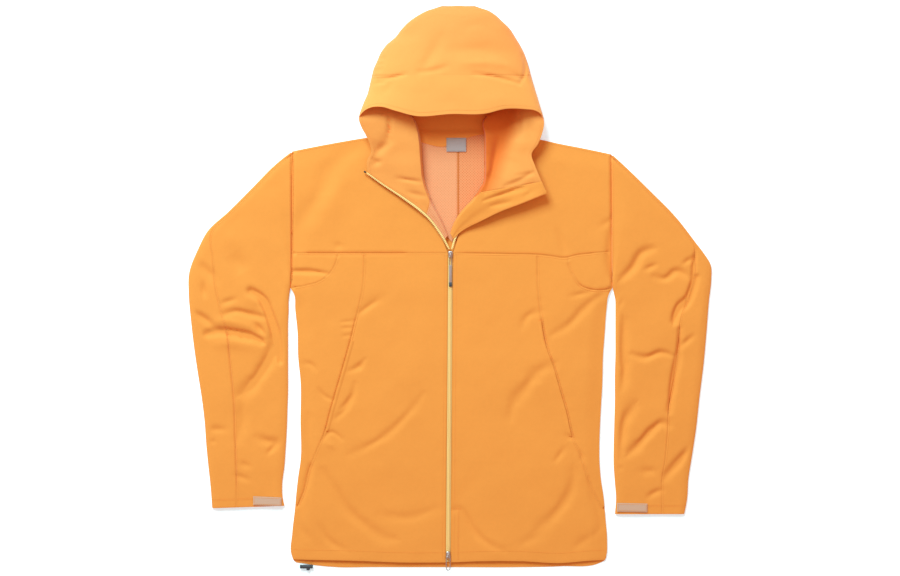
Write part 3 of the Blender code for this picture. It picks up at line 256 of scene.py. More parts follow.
# Creases: half width, height (below zero for a trough), lean, then x, y of the points along it.
BODY_FOLDS = [
    (16, -2, 0.35, -142, 246, -178, 224, -200, 202, -212, 173, -224, 148, -246, 119, -259, 97,
     -263, 71), (20, 1.4, 0, -166, 202, -190, 175, -203, 139, -224, 105),
    (6, -1.1, 0, -196, 73, -183, 70), (3.8, -3.0, 0.4, -275, 29, -254, 29, -229, 28, -209, 25),
    (3.2, -2.0, 0.4, -236, -302, -243, -325, -249, -347, -254, -364),
    (5, -1.4, 0, -156, -135, -150, -132), (3.4, -1.5, 0.2, -168, -184, -176, -196, -186, -206),
    (3.6, -1.3, 0.3, -154, -43, -140, -32, -125, -22),
    (8, -0.9, 0.3, -110, -17, -144, -34, -159, -53), (2.6, -0.8, 0, -186, -58, -162, -56),
    (2.6, -0.8, 0, -184, -68, -166, -68), (2.6, -0.7, 0, -183, -82, -167, -80),
    (4, -1.3, 0.3, -173, -141, -156, -133, -145, -121),
    (4.5, -1.5, 0.3, -195, -221, -178, -206, -167, -184, -162, -163),
    (4, -1.2, 0.2, -222, -172, -212, -184, -198, -190),
    (4, -1.2, 0.2, -252, -128, -237, -129, -227, -138),
    (5.5, -1.7, 0.3, -241, -218, -242, -260, -237, -298, -241, -325, -247, -345, -254, -367),
    (4, -1.3, 0, -217, -260, -203, -245, -183, -257),
    (6.5, -1.35, 0.4, -169, -280, -118, -255, -84, -226, -47, -180),
    (9, -1.9, 0.5, -212, -311, -195, -340, -169, -379, -144, -400, -110, -422, -93, -425),
    (8, -1, 0.2, -118, -384, -67, -388, -25, -374),
    (7, -1.1, 0.2, -220, -405, -203, -430, -178, -444), (6, -0.9, 0, -254, -405, -237, -430),
    (6, 0.9, 0, -210, -262, -196, -270),
    (5.5, -1.2, 0.3, 183, 97, 200, 63), (6.5, -1.4, -0.3, 150, -39, 130, -49, 122, -65),
    (4.5, -1.3, 0, 198, -250, 212, -257),
    (7, -1.7, -0.4, 268, -5, 247, -17, 222, -39, 205, -58, 174, -78),
    (4.5, -1.1, 0, 205, -14, 239, -7), (9, -4.2, 0, 277, 98, 276, 63, 276, 24),
    (3.0, -1.6, 0.2, 156, -58, 163, -86, 170, -108), (5.5, -1.2, 0, 256, 105, 280, 119),
    (10, -1.9, -0.5, 171, -128, 145, -144, 128, -167, 106, -196, 101, -218),
    (4.5, -1.2, 0, 179, -294, 193, -274),
    (9, -1.9, -0.5, 207, -311, 205, -337, 193, -362, 176, -384, 150, -405),
    (4.5, -1.1, 0, 222, -277, 227, -294),
    (5.5, -1.3, -0.3, 235, -325, 242, -354, 251, -379, 256, -405, 246, -418),
    (6.5, -1.5, 0.4, 4, -376, 18, -374, 26, -384, 43, -413, 69, -435, 91, -444),
    (7, -0.9, 0, 120, -435, 154, -418), (7, -0.9, 0, 213, -439, 239, -422),
]
SLEEVE_FOLDS_R = [
    (5.4, -6.2, 0.1, -338, -5, -320, -17, -310, -35, -301, -61, -293, -86, -287, -124),
    (4.0, -3.6, 0, -314, -28, -305, -50, -297, -74, -292, -98),
    (9, 1.1, 0, -340, -20, -324, -26, -312, -44, -305, -70),
    (8, 1.0, 0, -405, -60, -385, -56, -358, -60, -335, -66),
    (10, 0.8, 0, -398, -96, -365, -94, -335, -100),
    (5.5, -1.9, 0.3, -383, -44, -365, -39, -339, -44, -314, -49),
    (6.0, -6.0, 0.3, -412, -77, -387, -73, -358, -78, -339, -82, -320, -90),
    (4.5, -1.7, 0, -331, -60, -317, -76),
    (10, -3.0, 0.4, -300, -90, -303, -116, -317, -141, -339, -170, -351, -180),
    (9, -1, 0.2, -351, -184, -353, -235, -360, -260), (6.5, -0.9, 0, -411, -240, -382, -240),
    (3.5, -0.9, 0, -412, -262, -399, -260), (7.0, -1.3, 0.3, -326, -253, -305, -260, -285, -260),
    (4.5, -1.2, 0, -309, -280, -295, -267), (5.5, -0.7, 0, -356, -298, -339, -303),
    (5.5, -0.8, 0, -365, -318, -343, -325), (4.5, -1.3, 0, -419, 7, -417, -14),
    (5.5, -1.9, 0, -433, -42, -412, -56, -402, -66), (8, -1.3, 0.2, -424, 42, -399, 15),
    (17, -1.4, 0, -370, 60, -348, 26), (4.5, -1.2, 0, -387, -26, -365, -19),
]
SLEEVE_FOLDS_L = [
    (5.6, -4.4, -0.4, 418, 18, 411, 0, 402, -20, 388, -33, 379, -56),
    (3.6, -1.9, 0, 418, 66, 414, 42, 413, 18, 409, -6),
    (4.6, -2.8, -0.3, 389, -70, 388, -100, 378, -158, 371, -209),
    (6.5, -2, 0.4, 290, 17, 310, 37, 324, 60, 344, 68), (4.5, -1.2, 0, 332, 32, 349, 39),
    (5.5, -1.7, 0.3, 349, 20, 366, 17, 383, 29, 405, 20), (4.5, -1.2, 0, 397, 42, 412, 51),
    (4.5, -1.3, 0, 283, -36, 290, -22), (9, -2.2, 0.3, 295, -56, 293, -107, 297, -141, 290, -172),
    (5.5, -1.7, 0.3, 310, -112, 332, -117, 358, -109, 378, -114),
    (9, -2.1, 0.4, 314, -201, 298, -226, 292, -252, 288, -286),
    (7.2, -2.3, 0.45, 303, -280, 324, -260, 344, -238, 358, -228, 370, -230),
    (6.5, -2.4, 0.4, 365, -320, 383, -299, 409, -270), (4, -1, 0, 280, -306, 290, -306),
    (7, -0.8, 0, 324, -311, 349, -311), (4.5, -1.2, 0, 337, -354, 349, -347, 360, -343),
    (5.5, -1.3, 0, 392, -99, 412, -82),
]
HOOD_FOLDS = [
    (3.2, -2.2, 0.5, 40, 361, 62, 359, 85, 354, 104, 349, 118, 345),
    (3.0, -2.6, 0.3, 117, 345, 126, 362, 127, 378, 122, 394),
    (4.0, -1.6, 0.3, 106, 362, 120, 355, 132, 342),
    (3.0, -2.0, 0.5, -128, 353, -100, 355, -74, 361), (2.6, -2.0, 0.2, -131, 345, -108, 348),
    (2.6, -1.9, 0.2, -131, 368, -114, 370), (2.4, -1.5, 0.2, -128, 377, -112, 379),
    (2.4, -1.2, 0.2, -124, 388, -108, 389), (4.5, -1.7, 0.3, -55, 364, -29, 366, -6, 373),
    (12, -1.8, 0.4, -50, 369, -33, 393, -19, 420), (13, -1.7, 0.2, 1, 400, 52, 403, 99, 396),
    (8, 1.4, 0, 22, 377, 66, 379, 108, 373), (12, -1.0, 0.2, -98, 416, -70, 430, -44, 452),
    (10, -1.0, 0.2, 20, 440, 52, 446, 78, 436), (16, -0.9, 0, -84, 318, -33, 313, 35, 316),
    (6, -0.8, 0.2, -120, 325, -104, 338, -96, 352),
]
FLAP_FOLDS_R = [
    (2.8, -3.4, 0.4, -103, 290, -102, 270, -104, 252),
    (8, -2.6, 0.3, -103, 258, -112, 240, -128, 226),
    (4.5, -1.2, 0.3, -96, 250, -113, 238, -132, 228), (3.5, -2.3, 0, -137, 224, -122, 212),
    (3.5, -2.0, 0, -132, 207, -118, 216), (3.0, -2.0, 0.2, -126, 246, -136, 232),
    (3.4, -1.8, 0.3, -88, 186, -50, 180), (3.6, -1.4, 0.2, -71, 162, -43, 156),
]
FLAP_FOLDS_L = [
    (27, -9.8, 0.1, 92, 350, 94, 310, 91, 268, 82, 230, 71, 192),
    (6.5, -3.6, 0.2, 82, 250, 77, 222, 71, 192, 63, 168),
    (2.6, -2.2, 0.4, 118, 300, 119, 282, 120, 262), (3.5, -1.5, 0.3, 106, 173, 139, 184),
    (3.0, -2.2, 0.3, 57, 148, 103, 165, 150, 182), (3.5, -1.4, 0.2, 69, 139, 103, 146),
    (3.6, -2.2, 0.3, 92, 172, 124, 186, 146, 200), (3.4, -1.6, -0.2, 84, 156, 120, 166, 147, 174),
    (3.5, -1.2, 0.2, 128, 156, 149, 172), (6, -1.4, 0.2, 133, 284, 140, 258),
    (3.0, -0.9, 0.2, 112, 190, 142, 196),
]
# Seams that lie deeper than the rest: how much deeper, then x, y of the points along them.
SEAM_DEEP = [
    (0.9, -161, -56, -169, -90, -186, -150, -203, -209, -211, -240),
    (1.2, 156, -60, 164, -99, 176, -133, 188, -175, 198, -209, 206, -246),
    (0.9, -238, -305, -248, -345, -257, -368), (3.0, -268.5, 232, -271, 0),
    (2.6, 274.5, 227, 276, 0), (1.2, -236, YOKE_SEAM, -82, YOKE_SEAM),
    (0.5, 30, YOKE_SEAM, 240, YOKE_SEAM), (1.0, 222, 4, 242, -3, 270, -3),
    (0.3, 388, -90, 386, -110, 377, -158, 371, -209, 370, -260),
    (0.7, -378, -80, -370, -140, -366, -230, -362, -330),
]


# ---------------------------------------------------------------- curves, fields and noise
def smooth(points, step=3.0):
    """A smooth curve through points of any dimension, as rows about step apart."""
    points = np.array(points, float)
    if len(points) < 3:
        count = max(1, round(float(np.linalg.norm(points[-1] - points[0])) / step))
        share = np.linspace(0, 1, count + 1)[:, None]
        return points[0] * (1 - share) + points[-1] * share
    span = np.linalg.norm(np.diff(points, axis=0), axis=1)
    rate = np.diff(points, axis=0) / span[:, None]
    before, after = span[:-1, None], span[1:, None]
    middle = (rate[:-1] * after + rate[1:] * before) / (before + after)
    rates = np.vstack([1.5 * rate[:1] - 0.5 * middle[:1], middle,
                       1.5 * rate[-1:] - 0.5 * middle[-1:]])
    rows = []
    for i, length in enumerate(span):
        count = max(1, round(length / step))
        t = (np.arange(count) / count)[:, None]
        rows.append((2 * t ** 3 - 3 * t ** 2 + 1) * points[i]
                    + (t ** 3 - 2 * t ** 2 + t) * length * rates[i]
                    + (3 * t ** 2 - 2 * t ** 3) * points[i + 1]
                    + (t ** 3 - t ** 2) * length * rates[i + 1])
    return np.vstack(rows + [points[-1:]])


def run_along(line):
    """Length along a line at each of its points."""
    return np.concatenate([[0.0], np.cumsum(np.linalg.norm(np.diff(line, axis=0), axis=1))])


def at_runs(at, run, line):
    """The rows of a line at places along it, run being the place of each of its points."""
    return np.stack([np.interp(at, run, line[:, k]) for k in range(line.shape[1])], axis=-1)


def spaced(line, step):
    """A line's points made evenly about step apart."""
    run = run_along(line)
    return at_runs(np.linspace(0, run[-1], max(2, round(run[-1] / step) + 1)), run, line)


def unit(vectors):
    """Vectors made one long."""
    return vectors / np.maximum(np.linalg.norm(vectors, axis=-1, keepdims=True), 1e-9)


def left_of(ways):
    """Plan ways turned a quarter to the left."""
    return np.stack([-ways[:, 1], ways[:, 0]], axis=1)


def offset(line, amount):
    """A plan line moved sideways, to its left for a positive amount."""
    return line + left_of(unit(np.gradient(line, axis=0))) * amount


def soft_step(value, run):
    """0 at or below 0, 1 at or past run, smooth between."""
    t = np.clip(np.asarray(value, float) / run, 0, 1)
    return t * t * (3 - 2 * t)


def from_line(line, x, y):
    """Signed distance of points from a plan line (left positive), and how far along it they are."""
    away = np.full(np.shape(x), 1e9)
    side, place = np.zeros(np.shape(x)), np.zeros(np.shape(x))
    run = run_along(line)
    for (ax, ay), (bx, by), start in zip(line[:-1], line[1:], run):
        dx, dy = bx - ax, by - ay
        length = max(math.hypot(dx, dy), 1e-6)
        t = np.clip(((x - ax) * dx + (y - ay) * dy) / length ** 2, 0, 1)
        ox, oy = x - ax - t * dx, y - ay - t * dy
        distance = np.hypot(ox, oy)
        near = distance < away
        away = np.where(near, distance, away)
        side = np.where(near, np.sign(dx * oy - dy * ox), side)
        place = np.where(near, start + t * length, place)
    return away * side, place


def close_to(line, reach, x, y):
    """Which points are in the box round a plan line that is reach wider than it."""
    low, high = line.min(axis=0) - reach, line.max(axis=0) + reach
    return (x > low[0]) & (x < high[0]) & (y > low[1]) & (y < high[1])


def folds_at(folds, x, y):
    """Height of a table of soft creases. A lean puts a low ridge beside a trough, on the line's
    left where it is above zero."""
    total = np.zeros(np.shape(x))
    for half, height, lean, *points in folds:
        line = smooth(np.reshape(points, (-1, 2)), 5.0)
        near = close_to(line, 3 * half, x, y)
        if near.any():
            away, place = from_line(line, x[near], y[near])
            fade = np.sin(np.pi * (0.13 + 0.74 * place / run_along(line)[-1]))
            q = away / (half * (1 + 0.22 * noise(place, place * 0 + points[0], 17.0, 5)))
            total[near] += FOLD_GAIN * height * fade * (1 - lean * q) * np.exp(-q * q)
    return total


def seam_roll(x, y):
    """How far sewn edges turn down into their seams at points of the plan."""
    depth = np.full(np.shape(x), EDGE_ROLL)
    for more, *points in SEAM_DEEP:
        away = from_line(smooth(np.reshape(points, (-1, 2)), 8.0), x, y)[0]
        depth = depth + more * np.exp(-(away / 7.0) ** 2)
    return depth


def noise(x, y, size, seed):
    """Smooth noise from -1 to 1 with forms of about size, the same each run."""
    u, v = np.asarray(x, float) / size, np.asarray(y, float) / size
    i, j = np.floor(u), np.floor(v)
    fu, fv = u - i, v - j
    su, sv = (f ** 3 * (f * (6 * f - 15) + 10) for f in (fu, fv))

    def corner(a, b):
        value = np.sin(a * 127.1 + b * 311.7 + seed * 74.7) * 43758.5453
        return 2 * (value - np.floor(value)) - 1

    low = corner(i, j) * (1 - su) + corner(i + 1, j) * su
    high = corner(i, j + 1) * (1 - su) + corner(i + 1, j + 1) * su
    return low * (1 - sv) + high * sv


def rest_waves(x, y):
    """The gentle unevenness of cloth that has been laid down by hand."""
    return (0.85 * noise(x, y, 74, 1) + 0.42 * noise(x, y, 37, 2) + 0.15 * noise(x, y, 17, 3)
            + 0.045 * noise(x, y, 8, 4))


def puckers(line, x, y):
    """Small waves across a seam, fading away from it."""
    near = close_to(line, 3 * PUCKER_RUN, x, y)
    total = np.zeros(np.shape(x))
    if near.any():
        away, place = from_line(line, x[near], y[near])
        wave = noise(place, away * 0.35, PUCKER_LONG, 11)
        total[near] = PUCKER * wave * np.exp(-np.abs(away) / PUCKER_RUN)
    return total


def stray(x, y):
    """How far the front's cloth lies shifted in y where its yoke seam strays."""
    table = smooth(SEAM_STRAY, 4.0)
    return np.interp(x, table[:, 0], table[:, 1]) * np.exp(-((y - YOKE_SEAM) / 18) ** 2)


# ---------------------------------------------------------------- the front's surface
LINES = {name: smooth(points, STEP) for name, points in OUTLINES.items()}


def zip_x(y):
    """The zip's centre line x at a height y."""
    x, height = np.transpose(ZIP_LINE[::-1])
    return np.interp(y, height, x)


def base_front(x, y):
    """Height of the front's outer face before its creases."""
    to_side = np.full(np.shape(x), 1e9)
    to_shoulder = np.full(np.shape(x), 1e9)
    for tag, sign in HALVES:
        here = x * sign >= 0
        side = LINES["side_" + tag][::-1]
        edge = np.abs(np.interp(y, side[:, 1], side[:, 0]))
        to_side = np.where(here, edge - np.abs(x), to_side)
        away = np.abs(from_line(LINES["shoulder_" + tag][::4], x, y)[0])
        to_shoulder = np.where(here, away, to_shoulder)
    rise = 1 - (1 - soft_step(to_side + 4, EDGE_RUN)) * soft_step(-y, UNDERARM_RUN)
    rise = rise * (0.35 + 0.65 * soft_step(to_shoulder, EDGE_RUN))
    hem = soft_step(y - HEM_Y, HEM_RUN)
    return LOW_TOP + LOFT * rise * (0.92 + 0.08 * hem), rise * (0.3 + 0.7 * hem)


def front_surface(x, y):
    """Height of the front's outer face, with creases, laid waves and seam puckers."""
    x, y = np.asarray(x, float), np.asarray(y, float)
    z, free = base_front(x, y)
    z = z + folds_at(BODY_FOLDS, x, y) * (0.45 + 0.55 * free)
    z = z + rest_waves(x, y) * (0.35 + 0.65 * free)
    for name in ("chest_R", "chest_L", "gusset_R", "gusset_L"):
        z = z + puckers(LINES[name][::3], x, y)
    for reach in (zip_x(y) + ZIP_STITCH_IN, zip_x(y) - ZIP_STITCH_IN):
        z = z + 0.5 * PUCKER * noise(y, x * 0.2, 12, 13) * np.exp(-np.abs(x - reach) / 9) * (y < 58)
    z = z + 0.7 * PUCKER * noise(x, y * 0.3, 11, 15) * np.exp(-np.abs(y - YOKE_SEAM) / 9)
    z = z + 0.8 * PUCKER * noise(x, y * 0.3, 10, 16) * np.exp(-np.abs(y - HEM_Y) / 12)
    low = LOW_TOP - 0.35
    return low + 0.5 * np.log1p(np.exp((z - low) / 0.5))


# ---------------------------------------------------------------- meshes
def linked(name, data):
    """A new object in the scene."""
    item = bpy.data.objects.new(name, data)
    bpy.context.scene.collection.objects.link(item)
    return item


def piece(name, points, groups, finish, body="root", sharp=50, stands_for=()):
    """A named object from points in millimetres and groups of equal-sided faces, turned outwards,
    riding on a body and standing for some CAD nodes. Nothing reaches below the floor."""
    points = np.maximum(np.asarray(points, float), (-math.inf, -math.inf, 0.0))
    volume = 0.0
    for faces in groups:
        corners = points[faces]
        for k in range(1, corners.shape[1] - 1):
            volume += float(np.sum(corners[:, 0] * np.cross(corners[:, k], corners[:, k + 1])))
    turn = 1 if volume > 0 else -1
    mesh = bpy.data.meshes.new(name)
    mesh.from_pydata((points * MM).tolist(), [],
                     [face[::turn] for faces in groups for face in faces.tolist()])
    mesh.validate()
    mesh.materials.append(FINISHES[finish])
    mesh.shade_smooth()
    mesh.set_sharp_from_angle(angle=math.radians(sharp))
    item = linked(name, mesh)
    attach(item, body)
    if stands_for:
        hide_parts(*stands_for)


def raised(plan, height):
    """Plan points lifted to one height, or each to its own."""
    return np.column_stack([plan, np.full(len(plan), height)])


def joined_up(corners):
    """The sides of a closed outline, from its corners."""
    return [[a, b] for a, b in zip(corners, corners[1:] + corners[:1])]


def closed_rim(sides, step):
    """One closed outline from lines laid end to end, its points about step apart."""
    return np.vstack([spaced(np.asarray(side, float), step)[:-1] for side in sides])


def inset(rim, amount):
    """A closed outline moved inwards."""
    ahead, behind = np.roll(rim, -1, axis=0), np.roll(rim, 1, axis=0)
    area = np.sum(rim[:, 0] * ahead[:, 1] - ahead[:, 0] * rim[:, 1])
    out = unit(ahead - rim)
    side = unit(left_of(unit(rim - behind) + out)) * np.sign(area)
    lean = np.maximum(np.sum(side * left_of(out) * np.sign(area), axis=1), 0.4)[:, None]
    return rim + side * amount / lean


def inside(rim, x, y):
    """Whether points are inside a closed outline."""
    odd = np.zeros(np.shape(x), bool)
    for (ax, ay), (bx, by) in zip(rim, np.roll(rim, -1, axis=0)):
        if ay != by:
            odd ^= ((ay > y) != (by > y)) & (x < ax + (y - ay) / (by - ay) * (bx - ax))
    return odd


def filled(rim, step):
    """Plan points that fill a closed outline, the triangles between them, and how far each point
    is from the rim."""
    low, high = rim.min(axis=0), rim.max(axis=0)
    row_step = step * 0.866         # rows of even triangles
    columns, rows = (int(v) + 2 for v in (high - low) / (step, row_step))
    i, j = np.meshgrid(np.arange(columns), np.arange(rows))
    x = (low[0] + (i + 0.5 * (j % 2)) * step).ravel()
    y = (low[1] + j * row_step).ravel()
    loop = np.vstack([rim, rim[:1]])
    keep = inside(rim, x, y)
    x, y = x[keep], y[keep]
    away = np.abs(from_line(loop, x, y)[0])
    far = away > RIM_RINGS[-1] + 0.45 * step
    layers, gaps = [rim], [np.zeros(len(rim))]
    for ring in RIM_RINGS:
        near = inset(rim, ring)
        off = np.abs(from_line(loop, near[:, 0], near[:, 1])[0])
        good = (off > 0.8 * ring) & inside(rim, near[:, 0], near[:, 1])
        layers.append(near[good])
        gaps.append(off[good])
    layers.append(np.stack([x[far], y[far]], axis=1))
    gaps.append(away[far])
    plan, away = np.vstack(layers), np.concatenate(gaps)
    points, _, faces, back, _, _ = delaunay_2d_cdt(
        [Vector(p) for p in plan.tolist()], [], [list(range(len(rim)))], 1, 1e-5)
    source = [group[0] if group else 0 for group in back]
    return np.array([p[:] for p in points]), np.array(faces), away[source]


def border(faces):
    """The directed edges of a triangulation that only one face uses."""
    edges = np.concatenate([faces[:, [0, 1]], faces[:, [1, 2]], faces[:, [2, 0]]])
    key = np.sort(edges, axis=1)
    _, index, count = np.unique(key, axis=0, return_inverse=True, return_counts=True)
    return edges[count[index.reshape(-1)] == 1]


def panel(name, sides, top, finish, step=STEP, roll=None, under=None):
    """A laid piece of cloth: its outline filled and lifted to top(x, y), its edges turned down
    into their seams. under(x, y) gives its lower face, or else that follows the upper one."""
    plan, faces, away = filled(inset(closed_rim(sides, step), SEAM_GAP), step)
    x, y = plan[:, 0], plan[:, 1]
    roll = seam_roll(x, y) if roll is None else roll
    upper = top(x, y) - roll * np.exp(-(away / (1.1 + 0.8 * roll)) ** 2)
    if under is None:
        lower = np.maximum(upper - SHELL_THICK, BACK_TOP + GAP)
        upper = np.maximum(upper, lower + 0.5)
    else:
        lower = under(x, y)
    if top is front_surface:
        plan = np.column_stack([x, y + stray(x, y)])
    edges, count = border(faces), len(plan)
    skirt = np.column_stack([edges[:, ::-1], edges + count])
    piece(name + "_cloth", np.vstack([raised(plan, upper), raised(plan, lower)]),
          [faces, faces[:, ::-1] + count, skirt], finish, stands_for=(name,))


def patch(name, corners, top, thick, finish, step, roll, stitch_in):
    """A small piece sewn on flat. Returns the line of the stitches round it."""
    sides = joined_up(corners)
    panel(name, sides, top, finish, step=step, roll=roll, under=lambda x, y: top(x, y) - thick)
    loop = inset(closed_rim(sides, 1.5), stitch_in)
    loop = np.vstack([loop, loop[:1]])
    return np.column_stack([loop, top(loop[:, 0], loop[:, 1])]), np.tile(UP, (len(loop), 1))


def wall(name, outer, inner, finish, stands_for=()):
    """A closed wall between two grids of points of the same shape."""
    rows, columns = outer.shape[:2]
    count = rows * columns
    i, j = np.meshgrid(np.arange(rows - 1), np.arange(columns - 1), indexing="ij")
    a = (i * columns + j).ravel()
    quads = np.stack([a, a + columns, a + columns + 1, a + 1], axis=1)
    ring = np.concatenate([np.arange(columns), np.arange(1, rows) * columns + columns - 1,
                           np.arange(columns - 2, -1, -1) + (rows - 1) * columns,
                           np.arange(rows - 2, 0, -1) * columns])
    ahead = np.roll(ring, -1)
    sides = np.stack([ring, ahead, ahead + count, ring + count], axis=1)
    piece(name, np.vstack([outer.reshape(-1, 3), inner.reshape(-1, 3)]),
          [quads, quads[:, ::-1] + count, sides], finish, stands_for=stands_for)


def square_to(grid, turn=1):
    """Unit normals of a grid of points."""
    return unit(np.cross(np.gradient(grid, axis=1), np.gradient(grid, axis=0)) * turn)


def facing_up(normals):
    """Normals turned so that none of them points down."""
    return np.where(normals[..., 2:] < 0, -normals, normals)


def from_side(grid, side):
    """The grid seen so that the named border is its first row."""
    if side.endswith("column"):
        grid = grid.swapaxes(0, 1)
    return grid[::-1] if side.startswith("last") else grid


def to_side(grid, side):
    """The grid turned back from that."""
    grid = grid[::-1] if side.startswith("last") else grid
    return grid.swapaxes(0, 1) if side.endswith("column") else grid


def hemmed(grid, normals, sides, roll=None, back=SEAM_GAP, reach=1.1):
    """The grid with these borders set back and turned down into their seams by roll, or by what
    the seams' table gives. reach is how far in from the border the cloth has bent."""
    for side in sides:
        cloth, out = from_side(grid, side), from_side(normals, side)
        way = cloth[1] - cloth[0]
        length = np.maximum(np.linalg.norm(way, axis=1, keepdims=True), 1e-6)
        way = way / length
        down = seam_roll(cloth[0, :, 0], cloth[0, :, 1])[:, None] if roll is None else roll
        edge = cloth[0] + way * np.minimum(back, 0.2 * length) - out[0] * down
        near = cloth[0] + way * np.minimum(reach, 0.6 * length) - out[0] * down * 0.2
        grid = to_side(np.concatenate([edge[None], near[None], cloth[1:]]), side)
        normals = to_side(np.concatenate([out[:1], out]), side)
    return grid, normals


def line_in(grid, normals, side, distance, first=None, last=None):
    """The line on a grid at a distance in from one border, and the normals there, from one of
    its points to another."""
    cloth, out = from_side(grid, side), from_side(normals, side)
    points, square = [], []
    for j in range(cloth.shape[1]):
        run = run_along(cloth[:, j])
        points.append(at_runs(min(distance, run[-1]), run, cloth[:, j]))
        square.append(at_runs(min(distance, run[-1]), run, out[:, j]))
    return np.array(points)[first:last], np.array(square)[first:last]


def knotted(rows, step):
    """Rows of points smoothed along, and the index at which each given row falls."""
    rows = np.asarray(rows, float)
    shape = rows.shape[1:]
    flat = rows.reshape(len(rows), -1)
    scale = math.sqrt(int(np.prod(shape[:-1])))
    fine = smooth(flat, step * scale)
    span = np.linalg.norm(np.diff(flat, axis=0), axis=1)
    counts = [max(1, round(length / (step * scale))) for length in span]
    return fine.reshape(-1, *shape), np.concatenate([[0], np.cumsum(counts)])


def swept(points, radius, sides=8, closed=False):
    """Points and face groups of a round bar along a line. radius is one size, or one a point."""
    points = np.asarray(points, float)
    ahead = np.roll(points, -1, axis=0) - np.roll(points, 1, axis=0)
    if not closed:
        ahead[0], ahead[-1] = points[1] - points[0], points[-1] - points[-2]
    ahead = unit(ahead)
    radius = np.broadcast_to(np.asarray(radius, float), (len(points),))
    side = np.cross(ahead[0], (0, 0, 1) if abs(ahead[0][2]) < 0.9 else (0, 1, 0))
    rings = []
    for point, way, size in zip(points, ahead, radius):
        side = unit(side - way * np.dot(side, way))
        up = np.cross(way, side)
        angle = np.arange(sides) * 2 * math.pi / sides
        rings.append(point + size * (np.cos(angle)[:, None] * side + np.sin(angle)[:, None] * up))
    return stacked(rings, closed)


def stacked(rings, closed=False):
    """Points and face groups of a solid through rings with equal numbers of points."""
    rings = np.asarray(rings, float)
    count, sides = rings.shape[:2]
    spans = count if closed else count - 1
    i, j = np.meshgrid(np.arange(spans), np.arange(sides), indexing="ij")
    k, m = (i + 1) % count, (j + 1) % sides
    quads = np.stack([i * sides + j, k * sides + j, k * sides + m, i * sides + m], axis=-1)
    groups = [quads.reshape(-1, 4)]
    if not closed:
        groups.append(np.arange(sides)[None])
        groups.append((np.arange(sides)[::-1] + (count - 1) * sides)[None])
    return rings.reshape(-1, 3), groups


def together(parts):
    """Several (points, face groups) as one."""
    points, groups, start = [], [], 0
    for more, faces in parts:
        points.append(more)
        groups += [group + start for group in faces]
        start += len(more)
    return np.vstack(points), groups


STITCH_LONG, STITCH_GAP, STITCH_RADIUS, STITCH_SIDES = 2.7, 0.9, 0.30, 5
STITCH_STATIONS = ((0.0, 0.3), (0.15, 1.0), (0.85, 1.0), (1.0, 0.3))   # share, share of radius


def stitches(name, lines, finish="shell_cloth"):
    """Topstitching along lines of (points, normals), one small thread for each stitch."""
    parts = []
    angle = np.arange(STITCH_SIDES) * 2 * math.pi / STITCH_SIDES + math.pi / 2
    for points, square in lines:
        run = run_along(points)
        starts = np.arange(0.5 * STITCH_GAP, run[-1] - STITCH_LONG, STITCH_LONG + STITCH_GAP)
        if not len(starts):
            continue
        way = unit(np.gradient(points, axis=0))
        rings = []
        for share, size in STITCH_STATIONS:
            at = starts + share * STITCH_LONG
            centre, ahead, up = (at_runs(at, run, f) for f in (points, way, square))
            side, up = unit(np.cross(ahead, up))[:, None], up[:, None]
            rings.append(centre[:, None] + up * (0.18 * size - 0.06) + STITCH_RADIUS * size
                         * (np.cos(angle)[:, None] * side + np.sin(angle)[:, None] * up))
        rings = np.stack(rings, axis=1)
        first = np.arange(0, rings[..., 0].size, rings[0, ..., 0].size)[:, None, None]
        parts.append((rings.reshape(-1, 3), [(first + faces).reshape(-1, faces.shape[1])
                                             for faces in stacked(rings[0])[1]]))
    piece(name, *together(parts), finish, sharp=80)


# ---------------------------------------------------------------- finishes
class Finish:
    """A material being put together from nodes."""

    def __init__(self, name, roughness):
        self.made = bpy.data.materials.new(name)
        self.made.use_nodes = True
        self.tree = self.made.node_tree
        self.shader = self.tree.nodes["Principled BSDF"]
        self.shader.inputs["Roughness"].default_value = roughness
        self.place = self.node("ShaderNodeTexCoord").outputs["Object"]

    def node(self, kind, inputs=(), **settings):
        """A node with its settings, and its inputs given as values or as other outputs."""
        made = self.tree.nodes.new(kind)
        for key, value in settings.items():
            setattr(made, key, value)
        for key, value in dict(inputs).items():
            self.join(value, made.inputs[key])
        return made

    def join(self, value, socket):
        """Put a value on a socket, or link an output to it."""
        if isinstance(value, bpy.types.NodeSocket):
            self.tree.links.new(value, socket)
        else:
            socket.default_value = value

    def maths(self, operation, a, b=0.0):
        """One sum on two values."""
        return self.node("ShaderNodeMath", {0: a, 1: b}, operation=operation).outputs[0]

    def noise(self, size, detail=2.0):
        """Noise from 0 to 1 with forms of about size metres."""
        return self.node("ShaderNodeTexNoise", {"Vector": self.place, "Scale": 1 / size,
                                                "Detail": detail}).outputs[0]

    def bands(self, period, turn):
        """Straight bands of a period in metres, turned by an angle in degrees."""
        where = self.node("ShaderNodeMapping", {"Vector": self.place,
                                                "Rotation": (0, 0, math.radians(turn))})
        return self.node("ShaderNodeTexWave", {"Vector": where.outputs[0],
                                               "Scale": 0.314 / period}).outputs[1]

    def between(self, factor, low, high, **settings):
        """A colour between two, each given as values or as an output."""
        mix = self.node("ShaderNodeMix", data_type="RGBA", **settings)
        for index, value in ((0, factor), (6, low), (7, high)):
            self.join((*value, 1.0) if isinstance(value, tuple) else value, mix.inputs[index])
        return mix.outputs[2]

    def finished(self, colour, height, distance, strength, **values):
        """The material with its colour, its fine relief and constant values on the shader."""
        relief = self.node("ShaderNodeBump", {"Height": height, "Distance": distance,
                                              "Strength": strength})
        self.join(colour, self.shader.inputs["Base Color"])
        self.join(relief.outputs[0], self.shader.inputs["Normal"])
        for key, value in values.items():
            self.shader.inputs[key.replace("_", " ")].default_value = value
        return self.made


def shaded(colour, amount):
    """A colour made brighter or darker."""
    return tuple(min(max(v * amount, 0.0), 1.0) for v in colour)


